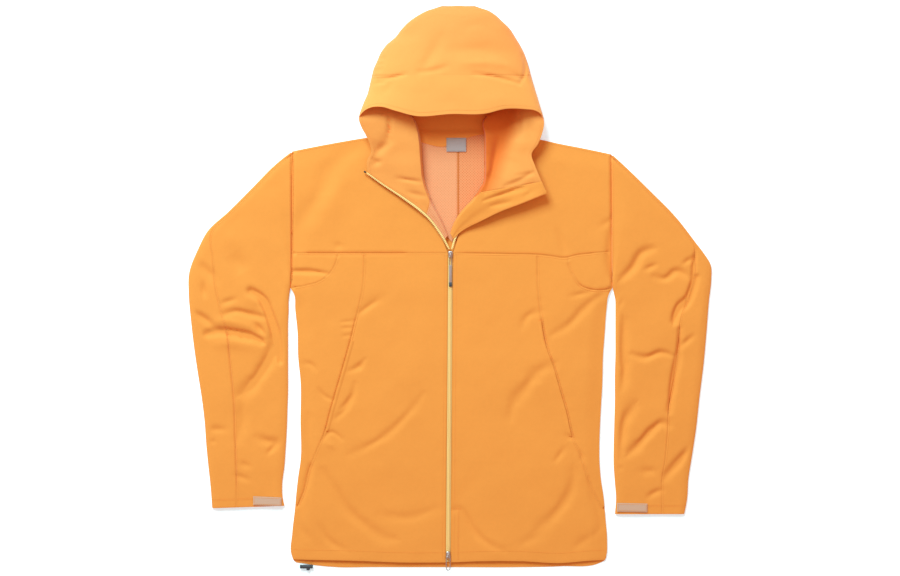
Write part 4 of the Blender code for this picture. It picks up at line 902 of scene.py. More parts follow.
def woven(name, colour, deeper=None):
    """Soft-shell cloth: a fine twill, slightly mottled, with a soft sheen. The last argument gives
    painted shade: a way over the piece, two distances along it in metres between which the colour
    darkens, and how much of the colour stays at the second."""
    made = Finish(name, 0.78)
    mixed = made.maths("MULTIPLY", made.noise(0.0011), 0.30)
    for size, detail in ((0.006, 3.0), (0.11, 2.0)):
        mixed = made.maths("ADD", mixed, made.maths("MULTIPLY", made.noise(size, detail), 0.35))
    tint = made.between(mixed, shaded(colour, 0.92), shaded(colour, 1.08))
    # painted shade: the colour darkens along the given way towards the second distance
    if deeper:
        way, start, end, shade_factor = deeper
        along = made.node("ShaderNodeVectorMath", {0: made.place, 1: way},
                          operation="DOT_PRODUCT").outputs[1]
        share = made.node("ShaderNodeMapRange", {"Value": along, "From Min": start,
                                                 "From Max": end},
                          interpolation_type="SMOOTHSTEP").outputs[0]
        tint = made.between(share, tint, shade_factor, blend_type="MULTIPLY")
    weave = made.maths("ADD", made.bands(TWILL, 45), made.bands(TWILL * 1.15, -38))
    weave = made.maths("ADD", weave, made.maths("MULTIPLY", made.noise(0.0016), 0.8))
    return made.finished(tint, weave, 0.00006, 0.8, Sheen_Weight=0.20, Sheen_Roughness=0.45,
                         Specular_IOR_Level=0.25)


def netted(name, colour, hole):
    """Mesh lining: rows of small round holes in a smooth knit."""
    made = Finish(name, 0.8)
    dots = made.maths("MULTIPLY", made.bands(HOLE_PITCH, 45), made.bands(HOLE_PITCH, -45))
    edge = made.node("ShaderNodeMapRange", {"Value": dots, "From Min": 0.42,
                                            "From Max": 0.66}).outputs[0]
    grain = made.noise(0.002)
    knit = made.between(grain, shaded(colour, 0.93), shaded(colour, 1.06))
    depth = made.maths("SUBTRACT", made.maths("MULTIPLY", grain, 0.25), edge)
    return made.finished(made.between(edge, knit, hole), depth, 0.00025, 0.8, Sheen_Weight=0.15,
                         Specular_IOR_Level=0.25)


def plain(name, colour, mottle, grain, relief, roughness, ribs=0.0, **values):
    """An evenly coloured finish. mottle is the size in metres of its slight unevenness, how dark
    and how bright it goes; grain and relief are the size and the height of what can be felt, and
    ribs is the period of woven ribs."""
    made = Finish(name, roughness)
    size, dark, bright = mottle
    tint = made.between(made.noise(size), shaded(colour, dark), shaded(colour, bright))
    height = made.noise(grain)
    if ribs:
        height = made.maths("ADD", made.bands(ribs, 0), height)
    return made.finished(tint, height, relief, 0.7 if ribs else 0.5, **values)


TWILL, HOLE_PITCH = 0.0009, 0.0033      # period of the twill and of the mesh's holes, in metres
RIBBED = {"mottle": (0.0014, 0.92, 1.06), "grain": 0.0009, "relief": 0.00010, "roughness": 0.8,
          "Sheen_Weight": 0.15, "Specular_IOR_Level": 0.3}
MOULDED = {"mottle": (0.004, 0.95, 1.04), "grain": 0.0006, "relief": 0.00002, "roughness": 0.5,
           "Specular_IOR_Level": 0.4}
METALLIC = {"mottle": (0.003, 0.85, 1.08), "grain": 0.0008, "relief": 0.00003, "Metallic": 0.85}

ORANGE = (0.90, 0.302, 0.052)
HOOD_ORANGE = (0.92, 0.320, 0.071)
# painted light: the brim's orange is a lighter copy of the hood's, as the crown's slope takes more
# of the key light
BRIM_PAINTED_LIGHT_ORANGE = (0.92, 0.334, 0.074)
# painted shade: a redder, deeper copy of the hood's orange for the hood's back, which lies in shade
# under the brim
HOOD_BACK_PAINTED_SHADE = (0.98, 0.285, 0.050)
PEACH = (0.90, 0.345, 0.165)
PEACH_HOLE = (0.84, 0.27, 0.105)
# painted shade: darker copies of the mesh lining's colour and holes, for the lining's half on the
# wearer's left
PEACH_PAINTED_SHADE = (0.88, 0.30, 0.125)
HOLE_PAINTED_SHADE = (0.76, 0.17, 0.050)
PALE_YELLOW = (1.0, 0.66, 0.255)
TAPE_BROWN = (0.66, 0.17, 0.038)
LABEL_GREY = (0.46, 0.36, 0.36)
TAB_BEIGE = (0.66, 0.385, 0.275)
SLIDER_GREY = (0.56, 0.46, 0.45)
STOP_BROWN = (0.10, 0.07, 0.055)
LOCK_BLACK = (0.055, 0.055, 0.07)

FINISHES = {name: make(name, colour, **looks) for name, make, colour, looks in (
    ("shell_cloth", woven, ORANGE, {}),
    # painted shade: the hood's cloth darkens towards the crown's far end, which catches more of the
    # key light
    ("hood_cloth", woven, HOOD_ORANGE, {"deeper": ((0, 1, 0), 0.345, 0.455, (1.0, 0.86, 0.86))}),
    # painted shade: the hood side darkens towards its inner edge, standing in for the shade under
    # the brim
    ("hood_side_cloth", woven, HOOD_ORANGE,
     {"deeper": ((1, -0.37, 0), 0.026, -0.006, (0.88, 0.50, 0.26))}),
    # painted light: the brim in a lighter copy of the hood's orange
    ("brim_cloth", woven, BRIM_PAINTED_LIGHT_ORANGE, {}),
    # painted shade: the hood's back in a redder copy of the hood's orange
    ("hood_inside", woven, HOOD_BACK_PAINTED_SHADE, {}),
    ("mesh_lining", netted, PEACH, {"hole": PEACH_HOLE}),
    # painted shade: a darker copy of the mesh lining
    ("mesh_open", netted, PEACH_PAINTED_SHADE, {"hole": HOLE_PAINTED_SHADE}),
    ("seam_tape", woven, TAPE_BROWN, {}),
    ("zip_teeth", plain, PALE_YELLOW, MOULDED),
    ("slider_metal", plain, SLIDER_GREY, {"roughness": 0.32, **METALLIC}),
    ("stop_metal", plain, STOP_BROWN, {"roughness": 0.5, **METALLIC}),
    ("cord_lock_plastic", plain, LOCK_BLACK, MOULDED),
    ("label_cloth", plain, LABEL_GREY, {"ribs": 0.0007, **RIBBED}),
    ("cuff_tab_cloth", plain, TAB_BEIGE, {"ribs": 0.0016, **RIBBED}),
)}


# ---------------------------------------------------------------- body
def on_front(line):
    """A plan line laid on the front, with the normals there."""
    x, y = line[:, 0], line[:, 1]
    z = front_surface(x, y)
    slope_x = front_surface(x + 0.5, y) - front_surface(x - 0.5, y)
    slope_y = front_surface(x, y + 0.5) - front_surface(x, y - 0.5)
    square = unit(np.column_stack([-slope_x, -slope_y, np.ones(len(x))]))
    return np.column_stack([x, y + stray(x, y), z]), square


def front_lines(tag):
    """The lines of one half of the front."""
    return [LINES[name + "_" + tag] for name in ("chest", "gusset", "side", "neck", "shoulder",
                                                 "armhole", "hem")]


def between(line, high_y, low_y=-math.inf):
    """The rows of a plan line whose y is between two heights."""
    return line[(line[:, 1] <= high_y) & (line[:, 1] >= low_y)]


def build_body():
    """Back, yokes, centre fronts, side fronts, gussets and pocket welts."""
    side_right, side_left = (smooth(OUTLINES[name][:-1], STEP) for name in ("side_R", "side_L"))
    back = [LINES["shoulder_R"][::-1], OUTLINES["armhole_R"], side_right, LINES["back_hem"],
            side_left[::-1], OUTLINES["armhole_L"][::-1], LINES["shoulder_L"],
            [OUTLINES["shoulder_L"][-1], OUTLINES["shoulder_R"][-1]]]
    panel("back", back, lambda x, y: BACK_TOP - 0.25 + 0.05 * rest_waves(x, y), "shell_cloth",
          step=5.0, roll=0.4, under=under_body)
    for tag, sign in HALVES:
        seam, gusset, side, neck, shoulder, armhole, hem = front_lines(tag)
        hem = hem[::sign]
        end = seam[-1]
        seam_out = np.array([np.interp(YOKE_SEAM, armhole[::-1, 1], armhole[::-1, 0]),
                             YOKE_SEAM])
        zip_y = np.linspace(YOKE_SEAM, HEM_Y, 60)
        zip_line = np.column_stack([zip_x(zip_y) + sign * (TAPE_HALF + GAP), zip_y])
        above, below = between(side, 0, end[1] + 3), between(side, end[1] - 3)
        for name, outline in (
            ("yoke_", [[seam_out, shoulder[0]], shoulder, neck, [neck[-1], seam[0]],
                       [seam[0], gusset[0]], [gusset[0], seam_out]]),
            ("gusset_", [gusset, [gusset[-1], seam_out], [seam_out, gusset[0]]]),
            ("side_", [seam, [end, above[-1]], above[::-1], gusset[::-1], [gusset[0], seam[0]]]),
            ("chest_", [zip_line, [zip_line[-1], hem[0]], hem, np.vstack([below[::-1], end]),
                        seam[::-1], [seam[0], zip_line[0]]]),
        ):
            panel(name + tag, outline, front_surface, "shell_cloth")
        first, last = POCKET_ROWS[tag]
        table = OUTLINES["chest_" + tag]
        line = between(seam, table[first][1], table[last][1])
        edge, inner = (line - (sign * (WELT_IN + wide), 0) for wide in (0.0, WELT_WIDE))
        path = line[::2]

        def welt(x, y):
            across = (np.abs(from_line(path, x, y)[0]) - WELT_IN) / WELT_WIDE
            return front_surface(x, y) + WELT_UP - WELT_FALL * soft_step(across - 0.25, 0.65)

        panel("pocket_welt_" + tag, [edge, [edge[-1], inner[-1]], inner[::-1],
                                     [inner[0], edge[0]]], welt, "shell_cloth", roll=0.15)


def under_body(x, y):
    """The back's lower face: flat where it rests, with shallow creases lifted off the surface."""
    creases = folds_at(BODY_FOLDS, x, y)
    return np.clip(-0.28 * creases - 0.08, 0.0, 0.6)


def body_stitches():
    """Topstitching of the body's seams, hem and zip."""
    plans = []
    for tag, sign in HALVES:
        seam, gusset, _, _, shoulder, armhole, hem = front_lines(tag)
        both = (STITCH_IN, -STITCH_IN)
        plans += [between(offset(seam, aside), YOKE_SEAM - 2.5) for aside in both]
        plans += [offset(gusset, aside)[3:-2] for aside in both]
        zip_y = np.linspace(YOKE_SEAM - 2, HEM_Y + 2, 200)
        plans += [np.column_stack([zip_x(zip_y) + sign * reach, zip_y])
                  for reach in (TAPE_HALF + 2.0, ZIP_STITCH_IN)]
        x = np.linspace(sign * 8, sign * YOKE_STITCHES[tag], 100)
        plans += [np.column_stack([x, x * 0 + YOKE_SEAM + aside]) for aside in both]
        plans.append(hem + (0, HEM_STITCH_IN))
        if tag == "L":
            low_y = np.linspace(ZIP_BAR_Y, HEM_Y + 3, 60)
            plans += [np.column_stack([zip_x(low_y) + reach, low_y])
                      for reach in (ZIP_BAR_IN, ZIP_BAR_IN + 1.6)]
            x = np.linspace(5.0, ZIP_BAR_IN + 5, 20)
            plans += [np.column_stack([x, x * 0 + ZIP_BAR_Y + up]) for up in (-0.8, 0.0, 0.8)]
        plans += [shoulder[3:-3] - (0, SHOULDER_STITCH_IN),
                  armhole[4:-4] - (sign * ARMHOLE_STITCH_IN, 0)]
    stitches("stitches_body", [on_front(plan) for plan in plans])


# ---------------------------------------------------------------- sleeves
def across_sleeve(outer, inner, distance):
    """A sleeve's plan points at distances in from its outer edge, and how far each of them is
    from the nearer edge."""
    width = np.linalg.norm(inner - outer, axis=1)[:, None]
    at = outer[:, None] + unit(inner - outer)[:, None] * distance[..., None]
    return at[..., 0], at[..., 1], np.minimum(distance, width - distance)


def sleeve_top(outer, inner, high, folds, distance):
    """A sleeve's upper points at distances in from its outer edge."""
    x, y, from_edge = across_sleeve(outer, inner, distance)
    rise = np.sqrt(1 - np.clip((FOLD_RUN - from_edge) / FOLD_RUN, 0, 1) ** 2)
    free = soft_step(from_edge - 3, 15)
    z = (FOLD_RADIUS + (high[:, None] - FOLD_RADIUS) * rise
         + (SLEEVE_GAIN * folds_at(folds, x, y) + rest_waves(x, y) + 0.1) * free)
    return np.dstack([x, y, np.maximum(z, FOLD_RADIUS - 0.4 * rise)])


def sleeve_under(outer, inner, folds, distance):
    """A sleeve's lower points: round at its folded edges and flat where it rests."""
    x, y, from_edge = across_sleeve(outer, inner, distance)
    short = FOLD_RADIUS - np.clip(from_edge, 0, FOLD_RADIUS)
    z = FOLD_RADIUS - np.sqrt(np.maximum(FOLD_RADIUS ** 2 - short ** 2, 0))
    free = soft_step(from_edge - 6, 12)
    return np.dstack([x, y, z + free * np.clip(-0.3 * folds_at(folds, x, y) - 0.1, 0, 0.6)])


def build_sleeve(tag, folds):
    """Main and elbow pieces of one sleeve, its cuff tab and its stitching."""
    table, (armhole, cuff) = SLEEVES[tag], SLEEVE_ENDS
    heights = [SLEEVE_ARMHOLE] * armhole + [SLEEVE_HIGH] * (len(table) - armhole - len(cuff))
    rows = smooth(np.column_stack([table, heights + list(cuff)]), STEP * 1.35)
    outer, inner, seam, high = rows[:, :2], rows[:, 2:4], rows[:, 4], rows[:, 5].copy()
    width = np.linalg.norm(inner - outer, axis=1)
    seam = np.maximum(seam, 3.0)
    start = soft_step(run_along(inner) + run_along(outer), 60.0)
    high = 6.5 + (high - 6.5) * start
    turn = np.sin(np.linspace(0, math.pi / 2, 12))
    flat_end = (width - FOLD_RUN)[:, None]
    mid = seam[:, None] + (flat_end - seam[:, None]) * np.linspace(0, 1, 56)
    fold = width[:, None] - FOLD_RUN * (1 - turn[1:])
    top = sleeve_top(outer, inner, high, folds, np.hstack([mid, fold]))
    turns = FOLD_RADIUS * (1 - np.cos(np.linspace(0, math.pi / 2, 6)))
    under_at = (width * UNDER_SEAM)[:, None]
    round_in = width[:, None] - turns[1:]
    flat_in = round_in[:, -1:] + (under_at - round_in[:, -1:]) * np.linspace(0, 1, 12)[1:]
    main = np.concatenate([top, sleeve_under(outer, inner, folds, np.hstack([round_in, flat_in]))],
                          axis=1)
    flat_out = under_at + (FOLD_RADIUS - under_at) * np.linspace(0, 1, 20)
    round_out = np.broadcast_to(turns[::-1][1:], (len(rows), 5))
    under = sleeve_under(outer, inner, folds, np.hstack([flat_out, round_out]))
    share = np.linspace(0, 1, 22)[1:] ** 1.7
    elbow = np.concatenate([under, sleeve_top(outer, inner, high, folds, seam[:, None] * share)],
                           axis=1)
    lines = []
    for name, grid in (("sleeve_main_", main), ("sleeve_elbow_", elbow)):
        square = square_to(grid, 1 if tag == "L" else -1)
        ended, out = hemmed(grid, square, ("first_column", "last_column", "last_row"))
        ended, out = hemmed(ended, out, ("first_row",), roll=2.8, back=-1.6, reach=2.6)
        wall(name + tag + "_cloth", ended, ended - out * SHELL_THICK, "shell_cloth",
             stands_for=(name + tag,))
        side = "first_column" if name == "sleeve_main_" else "last_column"
        for rim, distance, lowest in ((side, STITCH_IN, 4.5), ("last_row", CUFF_STITCHES[0], 4.2),
                                      ("last_row", CUFF_STITCHES[1], 4.2),
                                      ("first_row", ARMHOLE_STITCH_IN, 4.5)):
            line, up = line_in(grid, square, rim, distance)
            seen = line[:, 2] > lowest
            if seen.sum() > 4:
                lines.append((line[seen], up[seen]))
    lines.append(build_cuff_tab(tag))
    stitches("stitches_sleeve_" + tag, lines)


def build_cuff_tab(tag):
    """The hook-and-loop tab on a cuff. Returns its stitch line."""
    x0, y0, x1, y1 = TABS[tag]
    half = TAB_WIDE / 2

    def height(x, y):
        return CUFF_TOP + TAB_THICK + 0.12 * noise(x, y, 14, 21)

    corners = [(x0, y0 - half), (x1, y1 - half), (x1, y1 + half), (x0, y0 + half)]
    return patch("cuff_tab_" + tag, corners, height, TAB_THICK - 0.05, "cuff_tab_cloth",
                 step=1.8, roll=0.45, stitch_in=2.0)


# ---------------------------------------------------------------- hood
def curve(points, shares):
    """Points at shares (0 to 1) of a smooth curve through the given points."""
    points = np.asarray(points, float)
    ends = np.vstack([2 * points[0] - points[1], points, 2 * points[-1] - points[-2]])
    place = np.clip(np.asarray(shares, float), 0, 1) * (len(points) - 1)
    index = np.minimum(place.astype(int), len(points) - 2)
    t = (place - index)[:, None]
    a, b, c, d = (ends[index + k] for k in range(4))
    return 0.5 * (2 * b + (c - a) * t + (2 * a - 5 * b + 4 * c - d) * t * t
                  + (3 * b - a - 3 * c + d) * t ** 3)


HOOD_COLUMNS = 121


def build_hood():
    """Crown, brim and the back of the hood on the surface."""
    angle = math.pi * (np.linspace(0, 1, HOOD_COLUMNS) - 0.5)
    share = 0.5 + 0.5 * np.sin(angle)
    arch = np.clip(np.cos(angle), 0, 1)
    rows = []
    for right, left, y, z, ridge in HOOD_ROWS:
        rows.append(np.column_stack([right + (left - right) * share, y + 0 * share,
                                     z + (ridge - z) * arch ** 0.85]))
    rows[0][:, 1] -= 2.4 * (2 * share - 1) ** 2
    edge = smooth(BRIM_EDGE, 1.5)
    x = edge[0, 0] + (edge[-1, 0] - edge[0, 0]) * share
    rows.append(at_runs(x, edge[:, 0], edge))
    grid, knots = knotted(rows, 3.0)
    x, y = grid[..., 0], grid[..., 1]
    free = arch * soft_step(479 - y, 12)
    grid[..., 2] += folds_at(HOOD_FOLDS, x, y) * free ** 0.35 + 0.9 * rest_waves(x, y) * free
    square = square_to(grid, -1)
    square[0] = (0, 1, 0)
    square[:, 0] = np.array((-1, 0.25, 0)) / 1.03
    square[:, -1] = np.array((1, 0.25, 0)) / 1.03
    cut, last = knots[HOOD_SEAM_ROW], len(grid) - 1
    lines = []
    for name, low, high, side, look, seams in (
        ("hood_crown", 0, cut, "last_row", "hood_cloth", ("last_row",)),
        # the brim's finish is a lighter copy of the hood's orange: painted light
        ("hood_brim", cut, last, "first_row", "brim_cloth", ("first_row", "last_row")),
    ):
        part, out = grid[low:high + 1], square[low:high + 1]
        shown = 0.04 + 0.34 * soft_step(np.abs(share - 0.42) - 0.17, 0.2)[:, None]
        ended, outward = hemmed(part, out, seams, roll=shown, back=0.03)
        run = np.linalg.norm(ended - ended[-1], axis=2)
        thick = np.full(run.shape, SHELL_THICK)
        if name == "hood_brim":
            thick += (HEM_THICK - SHELL_THICK) * (1 - soft_step(run - 14, 4)) * soft_step(run, 6)
            upright = (1 - soft_step(run, 12))[..., None]
            outward = outward * (1 - upright) + np.array((0, 0.25, 0.97)) * upright
        wall(name + "_cloth", ended, ended - outward * thick[..., None], look, stands_for=(name,))
        lines += [line_in(part, out, side, STITCH_IN, *ends) for ends in ((4, 34), (-44, -4))]
        if name == "hood_brim":
            lines.append(line_in(part, out, "last_row", BRIM_STITCH_IN, 4, -4))
    right, left = ([(row[k], row[2]) for row in HOOD_ROWS[:9]] for k in (0, 1))
    foot_right = [(row[6] - FOOT_LAP, row[7]) for row in FLAP_RIGHT[:5]]
    foot_left = [(row[6] + FOOT_LAP, row[7]) for row in FLAP_LEFT[:5]]
    neck = smooth([(foot_left[-1][0], HOOD_NECK_Y), (36, 257), (12, 248), (-12, 240), (-40, 245),
                   (foot_right[-1][0], 252)], STEP)
    sides = [left, [left[-1], foot_left[0]], foot_left, [foot_left[-1], neck[0]], neck,
             [neck[-1], foot_right[-1]], foot_right[::-1], [foot_right[0], right[-1]],
             right[::-1], [right[0], left[0]]]
    # the hood's back takes the redder copy of the hood's orange: painted shade
    panel("hood_back", sides, lambda x, y: BACK_TOP - 0.1 + lap(y), "hood_inside", step=4.0,
          roll=0.3, under=lambda x, y: lap(y) + np.clip(0.5 * noise(x, y, 26, 31) - 0.15, 0, 0.5))
    stitches("stitches_hood", lines, "hood_cloth")


def lap(y):
    """How far the hood's back comes up over the neck seam."""
    return 2.6 * soft_step(HOOD_NECK_Y + 8 - y, 9)


FLAP_COLUMNS = 61
LOWEST_FLAP = 4.9
FLAPS = {
    "R": {"table": FLAP_RIGHT, "folds": FLAP_FOLDS_R, "seam": 12, "lean": -6,
          "ridge": 0.15, "roll": 0.42, "corner": 9},
    "L": {"table": FLAP_LEFT, "folds": FLAP_FOLDS_L, "seam": 10, "lean": 6, "ridge": 0.5,
          "roll": 0.9, "corner": 10},
}
ZIP_ENDS = {"R": 9, "L": 10}      # rows of the tables at which the open zip halves start


def flap_grid(table, folds, seam, lean, ridge, roll, corner):
    """A fine grid over an opened hood side and collar, outer edge to foot, and the place in it of
    each row of its table. seam is the row at the neck seam, which lean slants: how many fine rows
    it moves at each end. ridge and roll are how far towards its foot the cloth has its crest, and
    turns down. corner is the row at which the outer edge turns."""
    rows = []
    shares = np.linspace(0, 1, FLAP_COLUMNS)
    for row in table:
        outer, crest, foot = (np.array(row[k:k + 3], float) for k in (0, 3, 6))
        width = np.linalg.norm(crest - outer)
        middle = (outer + crest) / 2 - (0, 0, min(width * 0.02, 1.6))
        near = outer + (crest - outer) * 0.86 + (0, 0, 0.3)
        drop = crest[2] - foot[2]
        crest = crest + (foot - crest) * (ridge, ridge, 0)
        flat = (foot - crest) * (roll, roll, 0)
        brow = crest + 0.62 * flat - (0, 0, 0.10 * drop)
        cheek = crest + 0.98 * flat - (0, 0, 0.50 * drop)
        rows.append(curve([outer, middle, near, crest, brow, cheek, crest + flat
                           - (0, 0, drop)], shares))
    sharp = [rows[corner - 1] * 0.22 + rows[corner] * 0.78, rows[corner],
             rows[corner] * 0.84 + rows[corner + 1] * 0.16]
    grid, knots = knotted(rows[:corner] + sharp + rows[corner + 1:], STEP)
    knots = np.delete(knots, [corner, corner + 2])
    place = np.arange(len(grid), dtype=float)
    near = np.exp(-((place - knots[seam]) / (abs(lean) * 1.6 + 1)) ** 2)
    for j, share in enumerate(shares):
        at = np.clip(place + lean * (2 * share - 1) * near, 0, len(grid) - 1)
        grid[:, j] = at_runs(at, place, grid[:, j])
    inner = (soft_step(shares, 0.06) * soft_step(1 - shares, 0.16))[None, :]
    x, y = grid[..., 0], grid[..., 1]
    grid[..., 2] += (folds_at(folds, x, y) + 0.7 * rest_waves(x, y)) * inner
    grid[..., 2] = np.maximum(grid[..., 2], LOWEST_FLAP)
    return grid, knots


def build_flaps():
    """The opened hood sides, the front's facing or lining below the neck seam, and the open
    halves of the zip on their edges."""
    lines = []
    for tag, upper, lower, finish in (
        ("R", "hood_cloth", "front_lining_R", "mesh_lining"),
        # the wearer's left hood side takes the finish with painted shade towards its inner edge
        ("L", "hood_side_cloth", "front_facing_L", "shell_cloth"),
    ):
        grid, knots = flap_grid(**FLAPS[tag])
        square = facing_up(square_to(grid))
        cut, last = knots[FLAPS[tag]["seam"]], len(grid) - 1
        for name, low, high, side, look in (
            ("hood_side_" + tag, 0, cut, "last_row", upper),
            (lower, cut, last, "first_row", finish),
        ):
            part, out = grid[low:high + 1], square[low:high + 1]
            ended, outward = hemmed(part, out, (side, "first_column"))
            thick = MESH_THICK if look == "mesh_lining" else SHELL_THICK
            wall(name + "_cloth", ended, ended - outward * thick, look, stands_for=(name,))
            lines += [line_in(part, out, side, STITCH_IN, 3, -8),
                      line_in(part, out, "first_column", COLLAR_STITCH_IN, 3, -3)]
        open_zip(tag, grid, knots[ZIP_ENDS[tag]])
    stitches("stitches_collar", lines, "hood_cloth")


def build_lining():
    """Mesh lining of the back in two halves, and the bare label on it."""
    high = BACK_TOP + GAP + MESH_THICK

    def lining(x, y):
        return high + 0.25 + 0.18 * rest_waves(x * 1.6, y * 1.6)

    # the lining's half on the wearer's left takes the darker copy of the mesh: painted shade
    for tag, outline, look in (("R", LINING_RIGHT, "mesh_lining"), ("L", LINING_LEFT, "mesh_open")):
        panel("back_lining_" + tag, joined_up(outline), lining, look, roll=0.35,
              under=lambda x, y: lining(x, y) - MESH_THICK)

    def label(x, y):
        return np.maximum(lining(x, y), BACK_TOP + lap(y)) + LABEL_UP

    line = patch("neck_label", LABEL, label, LABEL_THICK, "label_cloth", step=1.6, roll=0.25,
                 stitch_in=1.6)
    stitches("stitches_label", [line], "label_cloth")
    y = np.linspace(*SEAM_TAPE_Y, 60)
    tape = np.stack([np.column_stack([SEAM_TAPE_X + 1.5 * s + 0 * y, y,
                                      lining(SEAM_TAPE_X, y) + 0.50 - 0.2 * s * s])
                     for s in np.linspace(-1, 1, 7)], axis=1)
    wall("lining_seam_tape", tape, tape - (0, 0, 0.5), "seam_tape")
    line = tape[:, 0] - (1.6, 0, 0.25)
    stitches("stitches_seam_tape", [(line, np.tile(UP, (len(y), 1)))], "mesh_lining")


# ---------------------------------------------------------------- zip, pulls and cord lock
TOOTH_PITCH = 3.0
TOOTH_PLAN = (   # across the tape, along it
    (-2.5, -0.62), (-2.5, 0.62), (-0.3, 0.60), (0.4, 1.0), (1.1, 0.85), (1.1, -0.85),
    (0.4, -1.0), (-0.3, -0.60),
)
TOOTH_RINGS = ((-1.0, 0.86), (-0.6, 1.0), (0.45, 1.0), (0.85, 0.74))   # height, share of the plan


def teeth(places):
    """Moulded zip teeth at (point, across, ahead, up) places."""
    plan = np.array(TOOTH_PLAN)
    return [stacked([point + size * (plan[:, :1] * across + plan[:, 1:] * ahead) + height * up
                     for height, size in TOOTH_RINGS]) for point, across, ahead, up in places]


def chain_top(y):
    """Height of the closed chain's upper face."""
    return LOW_TOP + 0.8 + (LOFT - 0.2) * soft_step(y - HEM_Y, HEM_RUN)


def build_chain():
    """The closed zip: two tapes and two rows of teeth."""
    y = np.linspace(YOKE_SEAM + 2, HEM_Y + 1, 190)
    top = chain_top(y) - 1.5
    shares = np.linspace(-1, 1, 9)
    tape = np.stack([np.column_stack([zip_x(y) + s * (TAPE_HALF - 0.1), y,
                                      top - 0.15 * (abs(s) < 0.2)]) for s in shares], axis=1)
    up = np.array(UP)
    places = []
    count = int((YOKE_SEAM + 2 - HEM_Y - 4) / TOOTH_PITCH)
    for sign in (-1, 1):
        for k in range(count):
            at = YOKE_SEAM + 1 - (k + (0.5 if sign > 0 else 0.0)) * TOOTH_PITCH
            places.append((np.array([zip_x(at) + sign * 0.35, at, chain_top(at) - 0.85]),
                           np.array((-sign * 1.0, 0, 0)), np.array((0, 1.0, 0)), up))
    wall("zip_tape", tape, tape - up * TAPE_THICK, "zip_teeth", stands_for=("zip_chain",))
    piece("zip_chain_teeth", *together(teeth(places)), "zip_teeth", sharp=35,
          stands_for=("zip_chain",))


def open_zip(tag, grid, first):
    """One open half of the zip along the edge of an opened collar, on the wearer's left tucked
    under it."""
    first += 4 if tag == "L" else 0
    edge = grid[first:, 0]
    inward = unit(grid[first:, 1] - edge)
    sign = dict(HALVES)[tag]
    if tag == "R":
        near, far = edge - inward * GAP, edge - inward * OPEN_TAPE
    else:
        under = edge - (0, 0, SHELL_THICK + 3 * GAP)
        way = np.gradient(edge, axis=0)
        into = raised(left_of(way), 0.0)
        into = unit(into * np.sign(np.sum(into * inward, axis=1, keepdims=True)))
        tuck = (1.6 + 2.4 * (1 - soft_step(run_along(edge), 60)))[:, None]
        near, far = under + into * (OPEN_TAPE + tuck), under + into * tuck
    end = np.array([zip_x(ZIP_JOIN_Y) + sign * ZIP_JOIN_IN, ZIP_JOIN_Y, ZIP_JOIN_Z])
    near = smooth(np.vstack([near[::6], end]), 2.5)
    far = smooth(np.vstack([far[::6], end + (sign * ZIP_JOIN_WIDE, 0, 0)]), 2.5)
    shares = np.linspace(0, 1, len(near))
    near, far = (at_runs(shares * run_along(f)[-1], run_along(f), f) for f in (near, far))
    tape = np.stack([near + (far - near) * s for s in np.linspace(0, 0.78, 5)], axis=1)
    out = facing_up(square_to(tape))
    half = ("zip_half_" + tag,)
    wall("zip_tape_open_" + tag, tape, tape - out * OPEN_TAPE_THICK, "zip_teeth",
         stands_for=half)
    line = near + (far - near) * 0.80
    run = run_along(line)
    places = []
    for at in np.arange(1.5, run[-1] - 1.5, TOOTH_PITCH):
        point, a, b, up = (at_runs(at, run, f) for f in (line, near, far, out[:, 2]))
        across, up = unit(b - a), unit(up)
        places.append((point - up * 0.4, across, np.cross(up, across), up))
    piece("zip_teeth_open_" + tag, *together(teeth(places)), "zip_teeth", sharp=35,
          stands_for=half)
    if tag == "R":
        stop = line[0] + (line[0] - line[1]) * 0.6
        clip = swept([stop + (-1.6, 1.2, 0.2), stop, stop + (2.0, -1.4, 0.1)],
                     [1.0, 1.7, 1.2], 10)
        piece("zip_top_stop", *clip, "stop_metal", sharp=60, stands_for=half)


def shield(x, y, nose, size):
    """A slider plate's outline round (x, y), wide at its nose."""
    side = [(0.62, -1.0), (0.80, -0.8), (0.86, -0.2), (1.0, 0.35), (1.0, 0.62), (0.62, 1.0),
            (0.2, 0.90)]
    other = [(-u, v) for u, v in side]
    plate = np.array(other[:1] + side + other[:0:-1])
    return (x, y) + plate * (SLIDER_WIDE / 2 * size, nose * SLIDER_LONG / 2 * size)


def build_slider(tag, middle):
    """A slider's shell and the bridge that its pull hangs from. Returns the middle of the pull's
    bar: x, y, z."""
    x = float(zip_x(middle))
    low = float(chain_top(middle + SLIDER_LONG / 2)) + GAP
    nose = 1 if tag == "top" else -1
    rings = [raised(shield(x, middle, nose, size), low + up) for size, up in
             ((0.90, 0.0), (1.0, 0.35), (1.0, 1.5), (0.94, 2.0), (0.80, SLIDER_BODY))]
    pin_y, pin_z = middle - SLIDER_LONG / 2 + PIN_IN, low + SLIDER_BODY + PIN_UP
    arch = [(pin_y - 1.7, low + 1.9), (pin_y - 1.8, pin_z + 0.6), (pin_y - 0.9, pin_z + 1.5),
            (pin_y + 1.5, pin_z + 1.6), (pin_y + 4.2, pin_z + 1.2), (pin_y + 5.3, pin_z - 0.4),
            (pin_y + 5.5, low + 1.9)]
    bar = smooth([(x, u, v) for u, v in arch], 0.7)
    flat, groups = swept(bar, 0.55)
    flat = (flat - (x, 0, 0)) * (1.9, 1, 1) + (x, 0, 0)
    piece("slider_" + tag + "_metal", *together([stacked(rings), (flat, groups)]),
          "slider_metal", sharp=40, stands_for=("slider_" + tag,))
    return x, pin_y, pin_z


